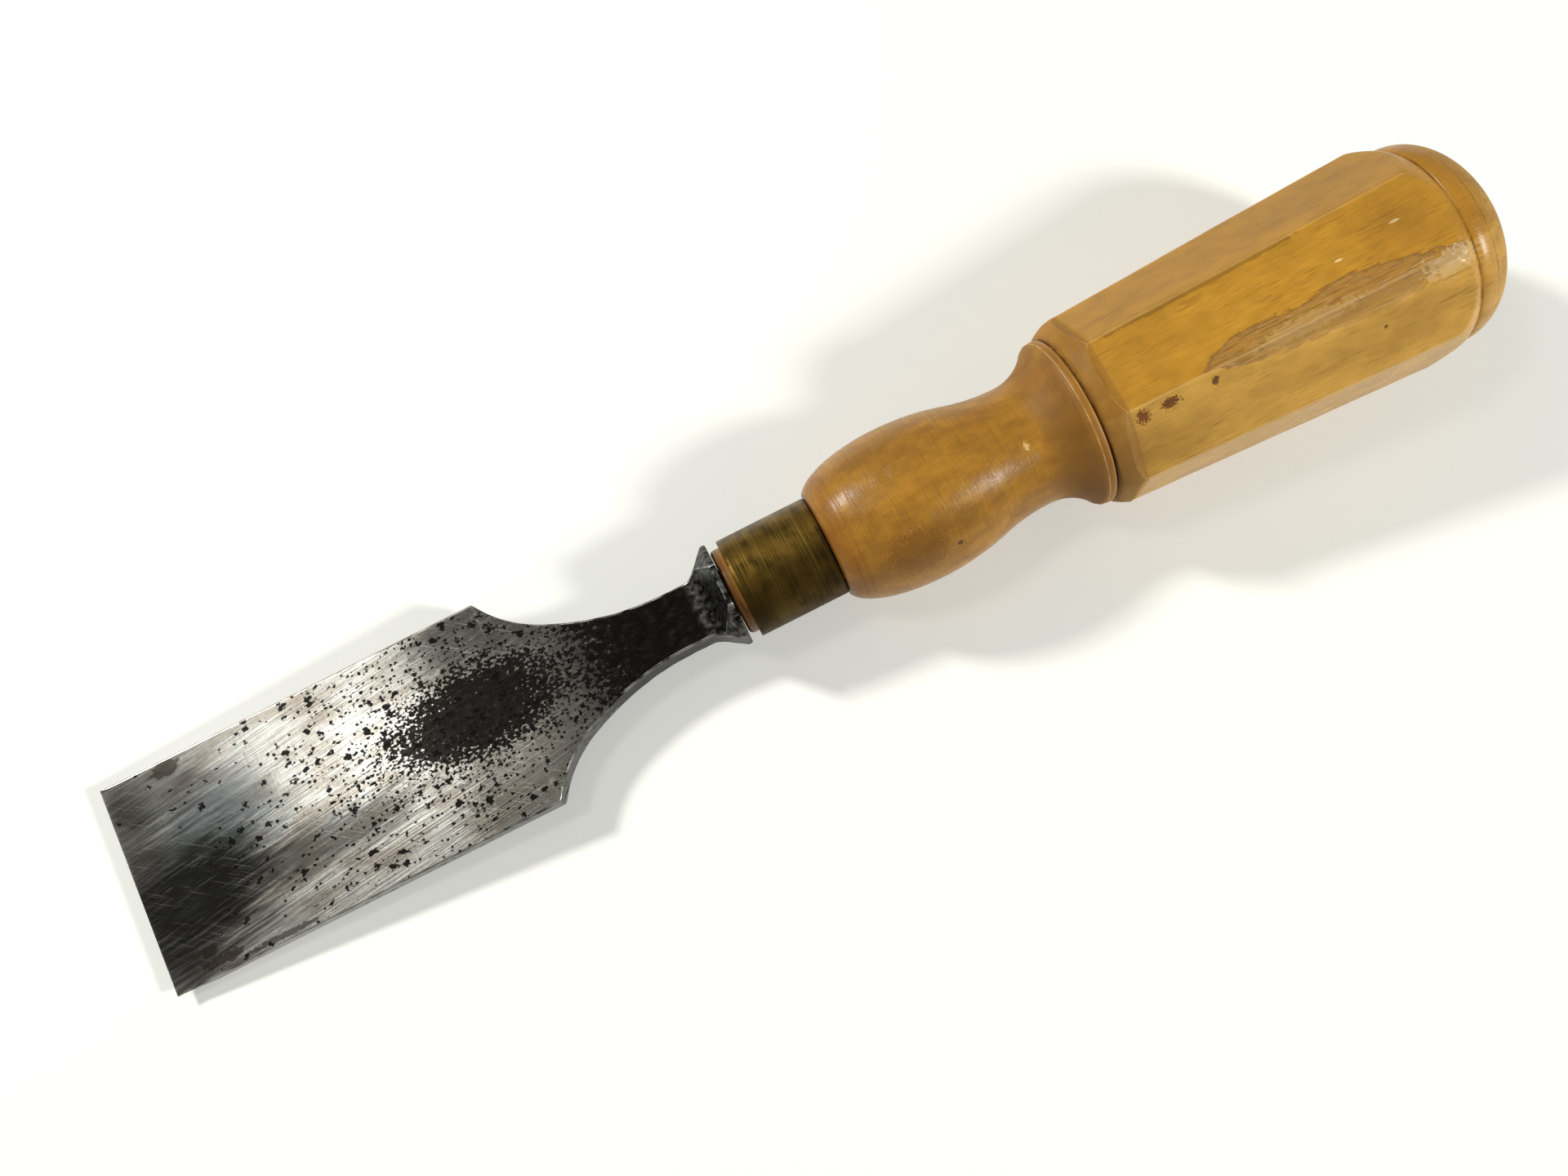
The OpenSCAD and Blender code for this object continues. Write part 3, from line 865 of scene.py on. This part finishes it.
@dataclass
class Blade(Piece):
    """The forging: ground blade, swept shoulders, neck, eight-sided bolster and tang."""

    width: float = 38.1
    length: float = 71.2
    heel: float = 6.561
    heel_thick: float = 3.2
    shoulder_thick: float = 4.6
    neck_end: float = 102.0
    neck_half: float = 5.35
    neck_thick: float = 6.8
    long_sweep: float = 48.48
    tight_sweep: float = 21.74
    sweep_join: float = math.radians(26.6)
    tip_wear: float = 0.55
    flare_start: float = 105.6
    flare_radius: float = 3.5
    rim_start: float = 111.2
    rim_end: float = 112.1
    rim_wear: tuple[Point, ...] = ((111.2, 0.03), (111.3, 0.0), (111.55, 0.0), (111.85, 0.02),
                                   (111.98, 0.06), (112.06, 0.12), (112.1, 0.22))
    bolster_half: float = 8.9
    corner_relief: float = 0.2
    corner_wear: float = 0.2
    tang_end: float = 174.1
    tang_half: float = 3.75
    tang_tip_half: float = 1.3
    edge_thick: float = 0.05
    wear: float = 0.16
    side_points: tuple[int, ...] = (5, 9, 5, 37, 5, 9, 5, 37)
    # how bright each corner's points are painted: worn arrises with a painted highlight on them
    corner_edge: tuple[float, ...] = (0.5, 1.0, 0.5)
    rounding: float = 0.12
    ground_depth: float = 0.02
    lump_depth: float = 0.07
    fine_depth: float = 0.03
    forged_start: float = 84.0
    forged_run: float = 10.0
    nick_run: float = 0.5

    def half_width(self, x: float) -> float:
        """Gives half the blade's width, with the tip of each shoulder worn round.

        Args:
            x: The place along the tool.

        Returns:
            The half width.
        """
        s, long, tight = self.sweep_join, self.long_sweep, self.tight_sweep
        join = self.neck_end - long * math.sin(s)
        if x >= join:
            run = max(self.neck_end - x, 0.0)
            return self.neck_half + long - math.sqrt(long * long - run * run)
        middle = join + tight * math.sin(s)
        top = self.neck_half + long * (1 - math.cos(s)) + tight * math.cos(s)
        run = min(middle - x, tight * 0.999)
        return soft_min(self.width / 2, top - math.sqrt(tight * tight - run * run), self.tip_wear)

    def thickness(self, x: float) -> float:
        """Gives the depth of the blade and neck below the flat back.

        Args:
            x: The place along the tool.

        Returns:
            The depth.
        """
        if x < self.heel:
            return max(self.edge_thick, self.heel_thick * x / self.heel)
        if x < self.length:
            share = (x - self.heel) / (self.length - self.heel)
            return self.heel_thick + (self.shoulder_thick - self.heel_thick) * share
        share = min(1.0, (x - self.length) / (self.neck_end - self.length))
        rise = self.neck_thick - self.shoulder_thick
        return self.shoulder_thick + rise * math.sin(math.pi / 2 * share)

    def flare(self, height: float, x: float) -> float:
        """Gives the height of a line of the bolster as it flares out from the neck.

        Args:
            height: Its height on the neck.
            x: The place along the tool.

        Returns:
            The height there.
        """
        run, radius = x - self.flare_start, self.flare_radius
        if run <= 0:
            return height
        length, rise = self.rim_start - self.flare_start, self.bolster_half - height - radius
        turn = math.atan2(rise, length) + math.asin(radius / math.hypot(length, rise))
        if run < radius * math.sin(turn):
            return height + radius - math.sqrt(radius * radius - run * run)
        foot = radius * math.sin(turn), height + radius * (1 - math.cos(turn))
        share = min(1.0, (run - foot[0]) / (length - foot[0]))
        return foot[1] + (self.bolster_half - foot[1]) * share

    def section(self, x: float, worn: float = 0.0) -> Section:
        """Gives the forging's cross-section.

        Args:
            x: The place along the tool.
            worn: How much its arrises at the rim have lost there.

        Returns:
            The section.
        """
        if x <= self.flare_start:
            wide, top, bottom = self.half_width(x), 0.0, self.thickness(x)
            chamfer = min(self.wear, 0.2 * bottom)
            upper, lower = ((wide + end) / ROOT_2 - chamfer for end in (top, bottom))
        else:
            neck, thick = self.neck_half, self.neck_thick
            corners = ((neck + end) / ROOT_2 + self.corner_relief for end in (0.0, thick))
            wide, top, bottom, upper, lower = (
                self.flare(height, x) - worn for height in (neck, 0.0, thick, *corners))
            upper, lower = (
                soft_min(corner, (wide + end) / ROOT_2 - self.wear, self.corner_wear)
                for corner, end in ((upper, top), (lower, bottom)))
        return Section(x, wide, top, bottom, upper, lower)

    def square(self, x: float) -> Section:
        """Gives the tang's square section.

        Args:
            x: The place along the tool.

        Returns:
            The section.
        """
        share = (x - self.rim_end) / (self.tang_end - self.rim_end)
        half = self.tang_half + (self.tang_tip_half - self.tang_half) * share
        corner = half * ROOT_2 - self.wear
        return Section(x, half, half, half, corner, corner)

    def sections(self) -> list[Section]:
        """Lists every section from the cutting edge to the end of the tang.

        Returns:
            The sections, in order.
        """
        heel, neck, rim = self.heel, self.neck_end, self.rim_start
        # each run has where it starts and how far apart its sections are at most
        runs = ((0.0, 0.25), (1.0, 0.6), (heel - 0.2, 0.1), (heel + 0.2, 0.95), (69.5, 0.22),
                (74.0, 0.6), (neck, 0.5), (105.2, 0.2), (109.0, 0.3), (110.7, 0.12), (rim, 0.0))
        listed = [self.section(x) for (start, step), (end, _) in zip(runs, runs[1:])
                  for x in spread(start, end, step)]
        listed += [self.section(x, worn) for x, worn in self.rim_wear]
        listed += [self.square(x) for x in spread(self.rim_end, self.tang_end, 6.0)]
        return listed + [self.square(self.tang_end)]

    def outline(self, section: Section) -> list[Vector]:
        """Draws the worn outline of a section, with the same count of points for each.

        Args:
            section: The section.

        Returns:
            Its points as y and z, in order round it.
        """
        corners, points = section.corners(), []
        for i, count in enumerate(self.side_points):
            before, here = corners[i - 1], corners[i]
            after, beyond = corners[(i + 1) % 8], corners[(i + 2) % 8]
            lengths = [(here - before).length, (after - here).length, (beyond - after).length]
            cut = min(self.rounding, 0.3 * lengths[0], 0.3 * lengths[1])
            next_cut = min(self.rounding, 0.3 * lengths[1], 0.3 * lengths[2])
            back = here + (before - here) * (cut / max(lengths[0], 1e-9))
            along = (after - here) / max(lengths[1], 1e-9)
            ahead, end = here + along * cut, after - along * next_cut
            points += [back, here * 0.5 + (back + ahead) * 0.25, ahead]
            for k in range(1, count + 1):
                share = 0.5 - 0.5 * math.cos(math.pi * k / (count + 1))
                points.append(ahead.lerp(end, share))
        return points

    def uneven(self, point: Vector) -> Vector:
        """Moves a point in by the hand-made unevenness of grinding and forging.

        Args:
            point: A point on the ideal surface.

        Returns:
            The moved point.
        """
        x, y, z = point
        if x > self.rim_end - 0.02:
            return point
        depth = self.ground_depth * (1 + wave(x * 0.09, y * 0.12, 3.0))
        forged = min(1.0, max(0.0, (x - self.forged_start) / self.forged_run))
        lump, fine = (wave(x * f, y * f, z * f) for f in (0.45, 1.4))
        depth += forged * (self.lump_depth * (1 + lump) + self.fine_depth * (1 + fine))
        middle = Vector((x, 0.0, -self.thickness(min(x, self.neck_end)) / 2))
        inward = middle - point
        if x < self.length:
            inward.y = 0.0
        nick = max(0.0, wave(y * 0.9, 7.0, 1.0) - 0.35) * 0.25 * max(0.0, 1 - x / self.nick_run)
        moved = point + inward.normalized() * min(depth, inward.length * 0.4)
        return moved + Vector((nick, 0, 0))

    def build(self) -> bpy.types.Object:
        """Draws a tube out from one end to the other and forges it to its sections.

        Returns:
            The blade.
        """
        sections = self.sections()
        outlines = [self.outline(s) for s in sections]
        around, last = len(outlines[0]), len(sections) - 1
        shape = bmesh.new()
        bmesh.ops.create_cone(shape, cap_ends=True, segments=around, radius1=1.0, radius2=1.0,
                              depth=1.0)
        lengthwise = [e for e in shape.edges if abs(e.verts[0].co.z - e.verts[1].co.z) > 0.5]
        bmesh.ops.subdivide_edges(shape, edges=lengthwise, cuts=last - 1, use_grid_fill=True)
        edge, worn = shape.verts.layers.float.new("edge"), []
        for count in self.side_points:
            worn += [*self.corner_edge] + [0.0] * count
        for vert in shape.verts:
            station = round((vert.co.z + 0.5) * last)
            turn = round(math.atan2(vert.co.y, vert.co.x) / math.tau * around) % around
            vert[edge] = worn[turn]
            vert.co = self.uneven(Vector((sections[station].x, *outlines[station][turn])))
        return self.settle(shape)


@dataclass
class Ferrule(Piece):
    """The short brass tube pressed over the front of the handle."""

    front: float = 114.0
    back: float = 130.6
    outer: float = 9.05
    inner: float = 7.95
    bevel: float = 0.22
    unround: float = 0.015
    dent: float = 0.07
    dent_at: float = 0.35
    dent_half: Point = (0.4, 0.05)
    steps: int = 160

    def profile(self) -> list[Point]:
        """Draws the tube's wall once round.

        Returns:
            Places along the tool, each with its radius.
        """
        b, turns = self.bevel, [math.pi / 6 * k for k in range(4)]
        points = [(x, self.outer) for x in spread(self.front + b, self.back - b, 0.6)]
        for end, inward, corners in ((self.back, -b, (self.outer, self.inner)),
                                     (self.front, b, (self.inner, self.outer))):
            for radius, order in zip(corners, (turns, turns[::-1])):
                deep = -b if radius == self.outer else b
                points += [(end + inward * (1 - math.sin(t)), radius + deep * (1 - math.cos(t)))
                           for t in order]
            if end == self.back:
                points += [(x, self.inner) for x in spread(end - 2 * b, self.front + 2 * b, 2.0)]
        return points

    def build(self) -> bpy.types.Object:
        """Spins the wall into a tube and dents its front edge.

        Returns:
            The ferrule.
        """
        shape = bmesh.new()
        verts = [shape.verts.new((x, 0, r)) for x, r in self.profile()]
        edges = [shape.edges.new((verts[i - 1], verts[i])) for i in range(len(verts))]
        bmesh.ops.spin(shape, geom=verts + edges, cent=(0, 0, 0), axis=(1, 0, 0),
                       angle=math.tau, steps=self.steps, use_merge=True)
        for vert in shape.verts:
            x, y, z = vert.co
            radius, angle = math.hypot(y, z), math.atan2(y, z)
            rough = self.unround * (1 + wave(x * 0.3, y * 0.3, z * 0.3))
            along, round_it = (x - self.front) / self.dent_half[0], angle - self.dent_at
            dent = self.dent * math.exp(-along ** 2 - (round_it / self.dent_half[1]) ** 2)
            if radius > self.outer - 0.5:
                vert.co.y *= 1 - (rough + dent) / radius
                vert.co.z *= 1 - (rough + dent) / radius
        return self.settle(shape)


class Zone(IntEnum):
    """Which part of the handle a point belongs to."""

    HOLE = 0
    TENON = 1
    TURNED = 2
    GRIP = 3


@dataclass
class Handle(Piece):
    """The turned and planed handle: tenon, bulb, waist, bead, shoulder, grip and butt."""

    tenon_front: float = 112.25
    tenon_radius: float = 7.9
    tenon_bevel: float = 0.7
    chip: float = 0.35
    chip_inner: float = 6.2
    chip_run: float = 0.55
    hole_half: float = 3.788
    hole_end: float = 175.6
    hole_end_half: float = 1.4
    seat: float = 130.7
    seat_radius: float = 9.3
    bulb: float = 146.6
    bulb_radius: float = 14.1
    bulb_tuck: float = 0.7
    waist: float = 168.7
    waist_radius: float = 11.05
    bulb_share: float = 0.58
    cove_share: float = 0.86
    bead: float = 177.3
    bead_radius: float = 15.4
    bead_curve: tuple[Point, ...] = ((0.0, 0.07), (0.1, 0.02), (0.3, 0.0), (0.6, 0.0), (0.85, 0.01))
    collar: float = 178.4
    collar_deep: float = 0.48
    groove: float = 0.5
    foot_radius: float = 15.5
    fullness: float = 0.45
    grip_start: float = 183.1
    front_radius: float = 17.7
    front_flat: float = 16.3
    flat_slope: float = 0.0436893
    stop: float = 2.1
    stop_end: float = 182.95
    fullest: float = 234.6
    full_radius: float = 21.0
    butt: float = 244.9
    butt_deep: float = 0.28
    dome: float = 245.4
    dome_set: float = 0.7
    dome_length: float = 11.69
    steps: int = 240
    curve_steps: int = 30
    crowd: float = 0.6
    arris_wear: float = 0.4
    arris_stop: float = 4.0
    crest_wear: float = 0.16
    planed_unevenly: float = 0.05
    hands_wear: float = 0.025
    scribed_deep: float = 0.07
    scribed_half: float = 0.16
    scribed: tuple[float, ...] = (133.2, 134.4, 176.95, 248.6)
    streak_deep: float = 0.3
    streak_top: tuple[Point, ...] = (
        (196.7, -20.9), (198.1, -17.1), (202.9, -11.8), (208.5, -11.5), (214.7, -13.3),
        (219.5, -11.1), (223.9, -9.7), (228.2, -11.6), (232.2, -14.0), (236.5, -17.1),
        (239.8, -19.4), (243.2, -21.1))
    streak_low: tuple[Point, ...] = (
        (196.7, -20.9), (202.0, -26.5), (207.3, -29.7), (212.3, -31.5), (217.4, -32.4),
        (222.7, -33.2), (228.2, -33.9), (233.3, -33.8), (238.5, -28.7), (243.2, -28.4))
    dents: tuple[tuple[float, float, float, float], ...] = (
        (227.5, -44.0, 0.5, 0.25), (166.9, -15.0, 0.5, 0.12), (149.9, -57.0, 0.4, 0.15),
        (235.2, 4.0, 0.5, 0.1), (224.3, -1.0, 0.4, 0.08), (197.8, -28.3, 0.4, 0.15))

    def ogee(self, start: Point, end: Point, share: float) -> list[Point]:
        """Draws a curve of two arcs between two places where the wood runs parallel to the axis.

        Args:
            start: The first place, along the tool and out from its axis.
            end: The second.
            share: How much of the two radii's sum the first arc takes.

        Returns:
            Its points, without the last.
        """
        run, rise = end[0] - start[0], end[1] - start[1]
        radii = (run * run + rise * rise) / (2 * abs(rise))
        first, way = radii * share, math.copysign(1, rise)
        second, turn = radii - first, math.asin(run / radii)
        join = start[0] + first * math.sin(turn)
        points = []
        for x in spread(start[0], end[0], 0.6):
            if x < join:
                radius = start[1] + way * (first - math.sqrt(first ** 2 - (x - start[0]) ** 2))
            else:
                radius = end[1] - way * (second - math.sqrt(second ** 2 - (end[0] - x) ** 2))
            points.append((x, radius))
        return points

    def v_groove(self, start: float, before: float, after: float, deep: float) -> list[Point]:
        """Draws a cut groove, worn round at its lips.

        Args:
            start: Where it begins.
            before: The radius in front of it.
            after: The radius behind it.
            deep: Its depth.

        Returns:
            Its points.
        """
        width, floor = self.groove, min(before, after) - deep
        return [(start - 0.12, before - 0.03), (start, before - 0.1),
                (start + width * 0.45, floor), (start + width * 0.55, floor),
                (start + width, after - 0.1), (start + width + 0.12, after - 0.03)]

    def butt_radius(self, x: float) -> float:
        """Gives the radius of the ball that rounds the grip off behind its fullest place."""
        return math.sqrt(self.full_radius ** 2 - (x - self.fullest) ** 2)

    def hole_line(self) -> list[Point]:
        """Draws the tapered hole for the tang, from its bottom to its mouth.

        Returns:
            Places along the tool, each with its radius.
        """
        mouth, end = (self.tenon_front, self.hole_half), (self.hole_end, self.hole_end_half)
        wall = [(x, between((mouth, end), x)) for x in spread(end[0] - 4, mouth[0], 8.0)]
        return [(self.hole_end, 0.0), end, *wall, mouth]

    def tenon_line(self) -> list[Point]:
        """Draws the tenon that the ferrule grips, and the face of the seat behind it.

        Returns:
            Places along the tool, each with its radius.
        """
        front, radius, bevel = self.tenon_front, self.tenon_radius, self.tenon_bevel
        points = [(front, r) for r in (5.6, 6.4, 7.0, 7.3)] + [(front + 0.02, radius - bevel)]
        points += [(front + bevel * (1 - math.cos(t)), radius - bevel * (1 - math.sin(t)))
                   for t in (0.4, 0.8, 1.2, math.pi / 2)]
        points += [(x, radius) for x in spread(113.2, self.seat, 0.45)]
        return points + [(self.seat, r) for r in (7.9, 8.6, 9.05)]

    def turned_line(self) -> list[Point]:
        """Draws the bulb, the waist, the cove, the bead, its groove and the turned shoulder.

        Returns:
            Places along the tool, each with its radius.
        """
        middle = self.seat_radius - self.bulb_tuck
        up = self.bulb_radius - middle
        turn = math.acos(self.bulb_tuck / up)
        along = (self.bulb - self.seat) / math.sin(turn)
        points = [(self.seat + 0.03, self.seat_radius - 0.12)]
        for k in range(1, self.curve_steps):
            angle = turn * (1 - k / self.curve_steps)
            points.append((self.bulb - along * math.sin(angle), middle + up * math.cos(angle)))
        bulb, waist = (self.bulb, self.bulb_radius), (self.waist, self.waist_radius)
        points += self.ogee(bulb, waist, self.bulb_share)
        points += self.ogee(waist, (self.bead, self.bead_radius), self.cove_share)
        points += [(self.bead + d, self.bead_radius - c) for d, c in self.bead_curve]
        points += self.v_groove(self.collar, self.bead_radius, self.foot_radius, self.collar_deep)
        foot = self.collar + self.groove
        for x in spread(foot + 0.25, self.grip_start, 0.1):
            share = (x - foot) / (self.grip_start - foot)
            rise = self.fullness * math.sqrt(1 - (1 - share) ** 2) + (1 - self.fullness) * share
            points.append((x, self.foot_radius + (self.front_radius - self.foot_radius) * rise))
        return points

    def grip_line(self) -> list[Point]:
        """Draws the grip as it was turned, the ball behind it, the butt's groove and the dome.

        Returns:
            Places along the tool, each with its radius.
        """
        cone = ((self.grip_start, self.front_radius), (self.fullest, self.full_radius))
        points = [(x, between(cone, x)) for x in
                  spread(self.grip_start, 185.5, 0.25) + spread(185.5, self.fullest, 0.85)]
        points += [(x, self.butt_radius(x)) for x in
                   spread(self.fullest, 243.0, 0.45) + spread(243.0, self.butt - 0.15, 0.2)]
        end = self.butt_radius(self.butt)
        points += self.v_groove(self.butt, end, end, self.butt_deep)
        along = self.dome_length - self.dome_set
        start = -math.asin(self.dome_set / along)
        for k in range(1, self.curve_steps):
            angle = start + (math.pi / 2 - start) * (k / self.curve_steps) ** 0.9
            x = self.dome + self.dome_set + along * math.sin(angle)
            if x > self.dome + 0.2:
                points.append((x, end / math.cos(start) * math.cos(angle)))
        return points + [(self.dome + self.dome_length, 0.0)]

    def planed(self, x: float, turned: float, angle: float) -> float:
        """Takes the eight flats off the turned grip, with the arrises between them worn.

        Args:
            x: The place along the tool.
            turned: The turned radius there.
            angle: The angle round the axis, 0 at the top.

        Returns:
            The radius that is left.
        """
        if x <= self.stop_end - self.stop + 0.01 or x > self.butt + 0.05:
            return turned
        flat = self.front_flat + (x - self.grip_start) * self.flat_slope
        if x < self.stop_end:
            flat += self.stop - math.sqrt(self.stop ** 2 - (x - self.stop_end) ** 2)
        off = off_flat(angle)
        flat -= self.planed_unevenly * (1 + wave(x * 0.05, angle * 1.3, 2.0))
        wear = self.arris_wear * (1 + 0.5 * wave(x * 0.12, angle * 0.6, 9.0))
        left = soft_min(flat / math.cos(off), flat / math.cos(EIGHTH - off), wear)
        return soft_min(left, turned, self.crest_wear)

    def from_arris(self, x: float, turned: float, radius: float, angle: float) -> float:
        """Gives how far a place is from an arris, or from the curve where a flat stops.

        Args:
            x: The place along the tool.
            turned: The turned radius there.
            radius: The radius that the plane has left.
            angle: The angle round the axis, 0 at the top.

        Returns:
            The distance, or FAR where neither is near.
        """
        if x >= self.butt - self.arris_stop:
            return FAR
        if x > self.stop_end:
            return (EIGHTH / 2 - off_flat(angle)) * radius
        # at the front of a flat the curve itself is the arris, and the cut deepens behind it
        if turned - radius > 0.02:
            return min(FAR, 3 * (turned - radius))
        return 0.0 if self.planed(x + 0.1, turned, angle) < turned - 0.1 else FAR

    def streak(self, x: float, angle: float, radius: float) -> float:
        """Gives how far a place is inside the worn streak along the upper right arris.

        Args:
            x: The place along the tool.
            angle: The angle round the axis, 0 at the top.
            radius: The radius there.

        Returns:
            Millimetres inside the streak, less than 0 outside it.
        """
        turn = math.degrees(angle)
        inside = min(between(self.streak_top, x) - turn, turn - between(self.streak_low, x))
        side = math.radians(inside) * radius
        ends = min(x - self.streak_top[0][0], self.streak_top[-1][0] - x)
        return max(-3.0, min(side, ends))

    def worn(self, x: float, radius: float, angle: float) -> float:
        """Takes scribed lines, dents, the streak and the hands' wear off the wood.

        Args:
            x: The place along the tool.
            radius: The radius so far.
            angle: The angle round the axis, 0 at the top.

        Returns:
            The radius that is left.
        """
        y, z = radius * math.sin(angle), radius * math.cos(angle)
        lost = self.hands_wear * (1 + wave(x * 0.15, y * 0.12, z * 0.12))
        for at in self.scribed:
            lost += self.scribed_deep * math.exp(-((x - at) / self.scribed_half) ** 2)
        for at, turn, size, deep in self.dents:
            aside = math.radians(math.degrees(angle) - turn) * radius
            lost += deep * math.exp(-((x - at) ** 2 + aside ** 2) / size ** 2)
        inside = self.streak(x, angle, radius)
        if inside > -1:
            torn = 1 + 0.5 * wave(x * 0.5, y * 1.6, z * 1.6)
            lost += self.streak_deep * max(0.0, min(1.0, (inside + 0.2) / 0.9)) * torn
        return radius - lost

    def build(self) -> bpy.types.Object:
        """Turns the handle on the lathe, planes its flats and wears it.

        Returns:
            The handle.
        """
        shape = bmesh.new()
        zone = shape.verts.layers.int.new("zone")
        streak = shape.verts.layers.float.new("streak")
        arris = shape.verts.layers.float.new("arris")
        verts = []
        for where, points in zip(Zone, (self.hole_line(), self.tenon_line(), self.turned_line(),
                                        self.grip_line())):
            for x, radius in points:
                verts.append(shape.verts.new((x, 0, radius)))
                verts[-1][zone] = where
        edges = [shape.edges.new(pair) for pair in zip(verts, verts[1:])]
        bmesh.ops.spin(shape, geom=verts + edges, cent=(0, 0, 0), axis=(1, 0, 0),
                       angle=math.tau, steps=self.steps, use_merge=True)
        bmesh.ops.remove_doubles(shape, verts=shape.verts, dist=WELD)
        for vert in shape.verts:
            x, y, z = vert.co
            radius, angle = math.hypot(y, z), math.atan2(y, z)
            vert[streak], vert[arris] = -3.0, FAR
            if radius < 1e-4:
                continue
            angle += self.crowd / 8 * math.sin(8 * angle)
            if vert[zone] == Zone.HOLE:
                radius /= max(abs(math.cos(angle)), abs(math.sin(angle)))
            elif vert[zone] == Zone.TENON:
                out = (radius - self.chip_inner) / (self.tenon_radius - self.chip_inner)
                if x < self.tenon_front + self.chip_run and out > 0:
                    x += self.chip * max(0.0, wave(angle * 2.2, 5.0, 0.5) + 0.1) * out
            else:
                turned, radius = radius, self.planed(x, radius, angle)
                vert[arris] = self.from_arris(x, turned, radius, angle)
                vert[streak] = self.streak(x, angle, radius)
                radius = self.worn(x, radius, angle)
            vert.co = Vector((x, radius * math.sin(angle), radius * math.cos(angle)))
        return self.settle(shape)


@dataclass
class Studio:
    """The pale floor, the soft lamps and the camera. A lamp has its way, power and size."""

    focus: Vector = field(default_factory=lambda: Vector((0.0, 0.0, 0.01)))
    floor_white: str = "#FCFDF3"
    glow: float = 0.18
    floor_near: float = 0.3
    floor_far: float = 0.9
    sky: float = 0.15
    mirrored: float = 0.5
    lamps: tuple[tuple[Size, float, float], ...] = (
        ((-0.50, 0.60, 0.63), 8.0, 0.13),
        ((0.64, -0.51, 0.575), 6.4, 0.15),
        ((-0.383, 0.246, 0.890), 0.95, 0.16))
    eye: Size = (-0.0331, -0.053446, 0.242613)
    right: Size = (0.89495, -0.44615, 0.00217)
    up: Size = (0.43299, 0.8697, 0.23692)
    lens: float = 31.7237
    sensor: float = 36.0

    def floor(self) -> None:
        """Lays a white floor that shows white and keeps the tool's shadow."""
        shape = bmesh.new()
        bmesh.ops.create_grid(shape, x_segments=8, y_segments=8, size=2.0)
        mesh = bpy.data.meshes.new("floor")
        shape.to_mesh(mesh)
        shape.free()
        floor = bpy.data.objects.new("floor", mesh)
        bpy.context.scene.collection.objects.link(floor)
        material = bpy.data.materials.new("white_table")
        material.use_nodes = True
        w = Wiring(material.node_tree)
        seen = w.add("LightPath", out="Is Camera Ray")
        for ray in ("Is Glossy Ray", "Is Transmission Ray"):
            seen = w.add("Math", seen, w.add("LightPath", out=ray), operation="MAXIMUM")
        far = w.add("VectorMath", w.add("TexCoord", out="Object"), out="Value", operation="LENGTH")
        glow = w.add("MapRange", far, self.floor_near, self.floor_far, self.glow, 1.0)
        matt = w.add("BsdfDiffuse", srgb(self.floor_white))
        w.end("Material", w.add("MixShader", w.times(seen, glow), matt, w.add("Emission")))
        mesh.materials.append(material)

    def light(self) -> None:
        """Hangs the lamps a metre from the tool and sets the room's soft light."""
        for i, (way, power, size) in enumerate(self.lamps):
            lamp = bpy.data.lights.new(f"lamp_{i}", "AREA")
            lamp.shape, lamp.size, lamp.energy = "DISK", size, power
            holder = bpy.data.objects.new(f"lamp_{i}", lamp)
            way = Vector(way).normalized()
            holder.location = self.focus + way
            holder.rotation_euler = way.to_track_quat("Z", "Y").to_euler()
            bpy.context.scene.collection.objects.link(holder)
        world = bpy.data.worlds.new("room")
        world.use_nodes = True
        w, strength = Wiring(world.node_tree), self.sky
        for ray, seen in (("Is Glossy Ray", self.mirrored), ("Is Camera Ray", 1.0)):
            strength = w.times(w.add("LightPath", out=ray), seen - self.sky, strength)
        w.end("World", w.add("Background", (1, 1, 1, 1), strength))
        bpy.context.scene.world = world

    def camera(self) -> None:
        """Sets the camera where the picture was taken from."""
        lens = bpy.data.cameras.new("camera")
        lens.lens, lens.sensor_width, lens.sensor_fit = self.lens, self.sensor, "HORIZONTAL"
        lens.clip_start = 0.01
        right, up = Vector(self.right).normalized(), Vector(self.up).normalized()
        back = right.cross(up).normalized()
        turn = Matrix((right, back.cross(right), back)).transposed().to_4x4()
        holder = bpy.data.objects.new("camera", lens)
        holder.matrix_world = Matrix.Translation(self.eye) @ turn
        bpy.context.scene.collection.objects.link(holder)
        bpy.context.scene.camera = holder

    def build(self) -> None:
        """Sets up the whole studio."""
        self.floor()
        self.light()
        self.camera()
        bpy.context.scene.view_settings.view_transform = "Standard"


def main() -> None:
    """Builds the chisel's three pieces and the studio, in order."""
    logging.basicConfig(level=logging.INFO, format="%(message)s")
    lie = Lie()
    pieces = (
        Blade(lie, "forged_blade", "blade", "forged_steel", ForgedSteel(lie)),
        Ferrule(lie, "brass_ferrule", "ferrule", "aged_brass", TarnishedBrass(lie)),
        Handle(lie, "boxwood_handle", "handle", "boxwood", PolishedBoxwood(lie)))
    for piece in pieces:
        made = piece.build()
        low, high = ([round(pick(c[i] for c in made.bound_box), 5) for i in range(3)]
                     for pick in (min, max))
        log.info("%s from %s to %s", made.name, low, high)
    Studio().build()
    bpy.context.view_layer.update()


if __name__ == "__main__":
    main()
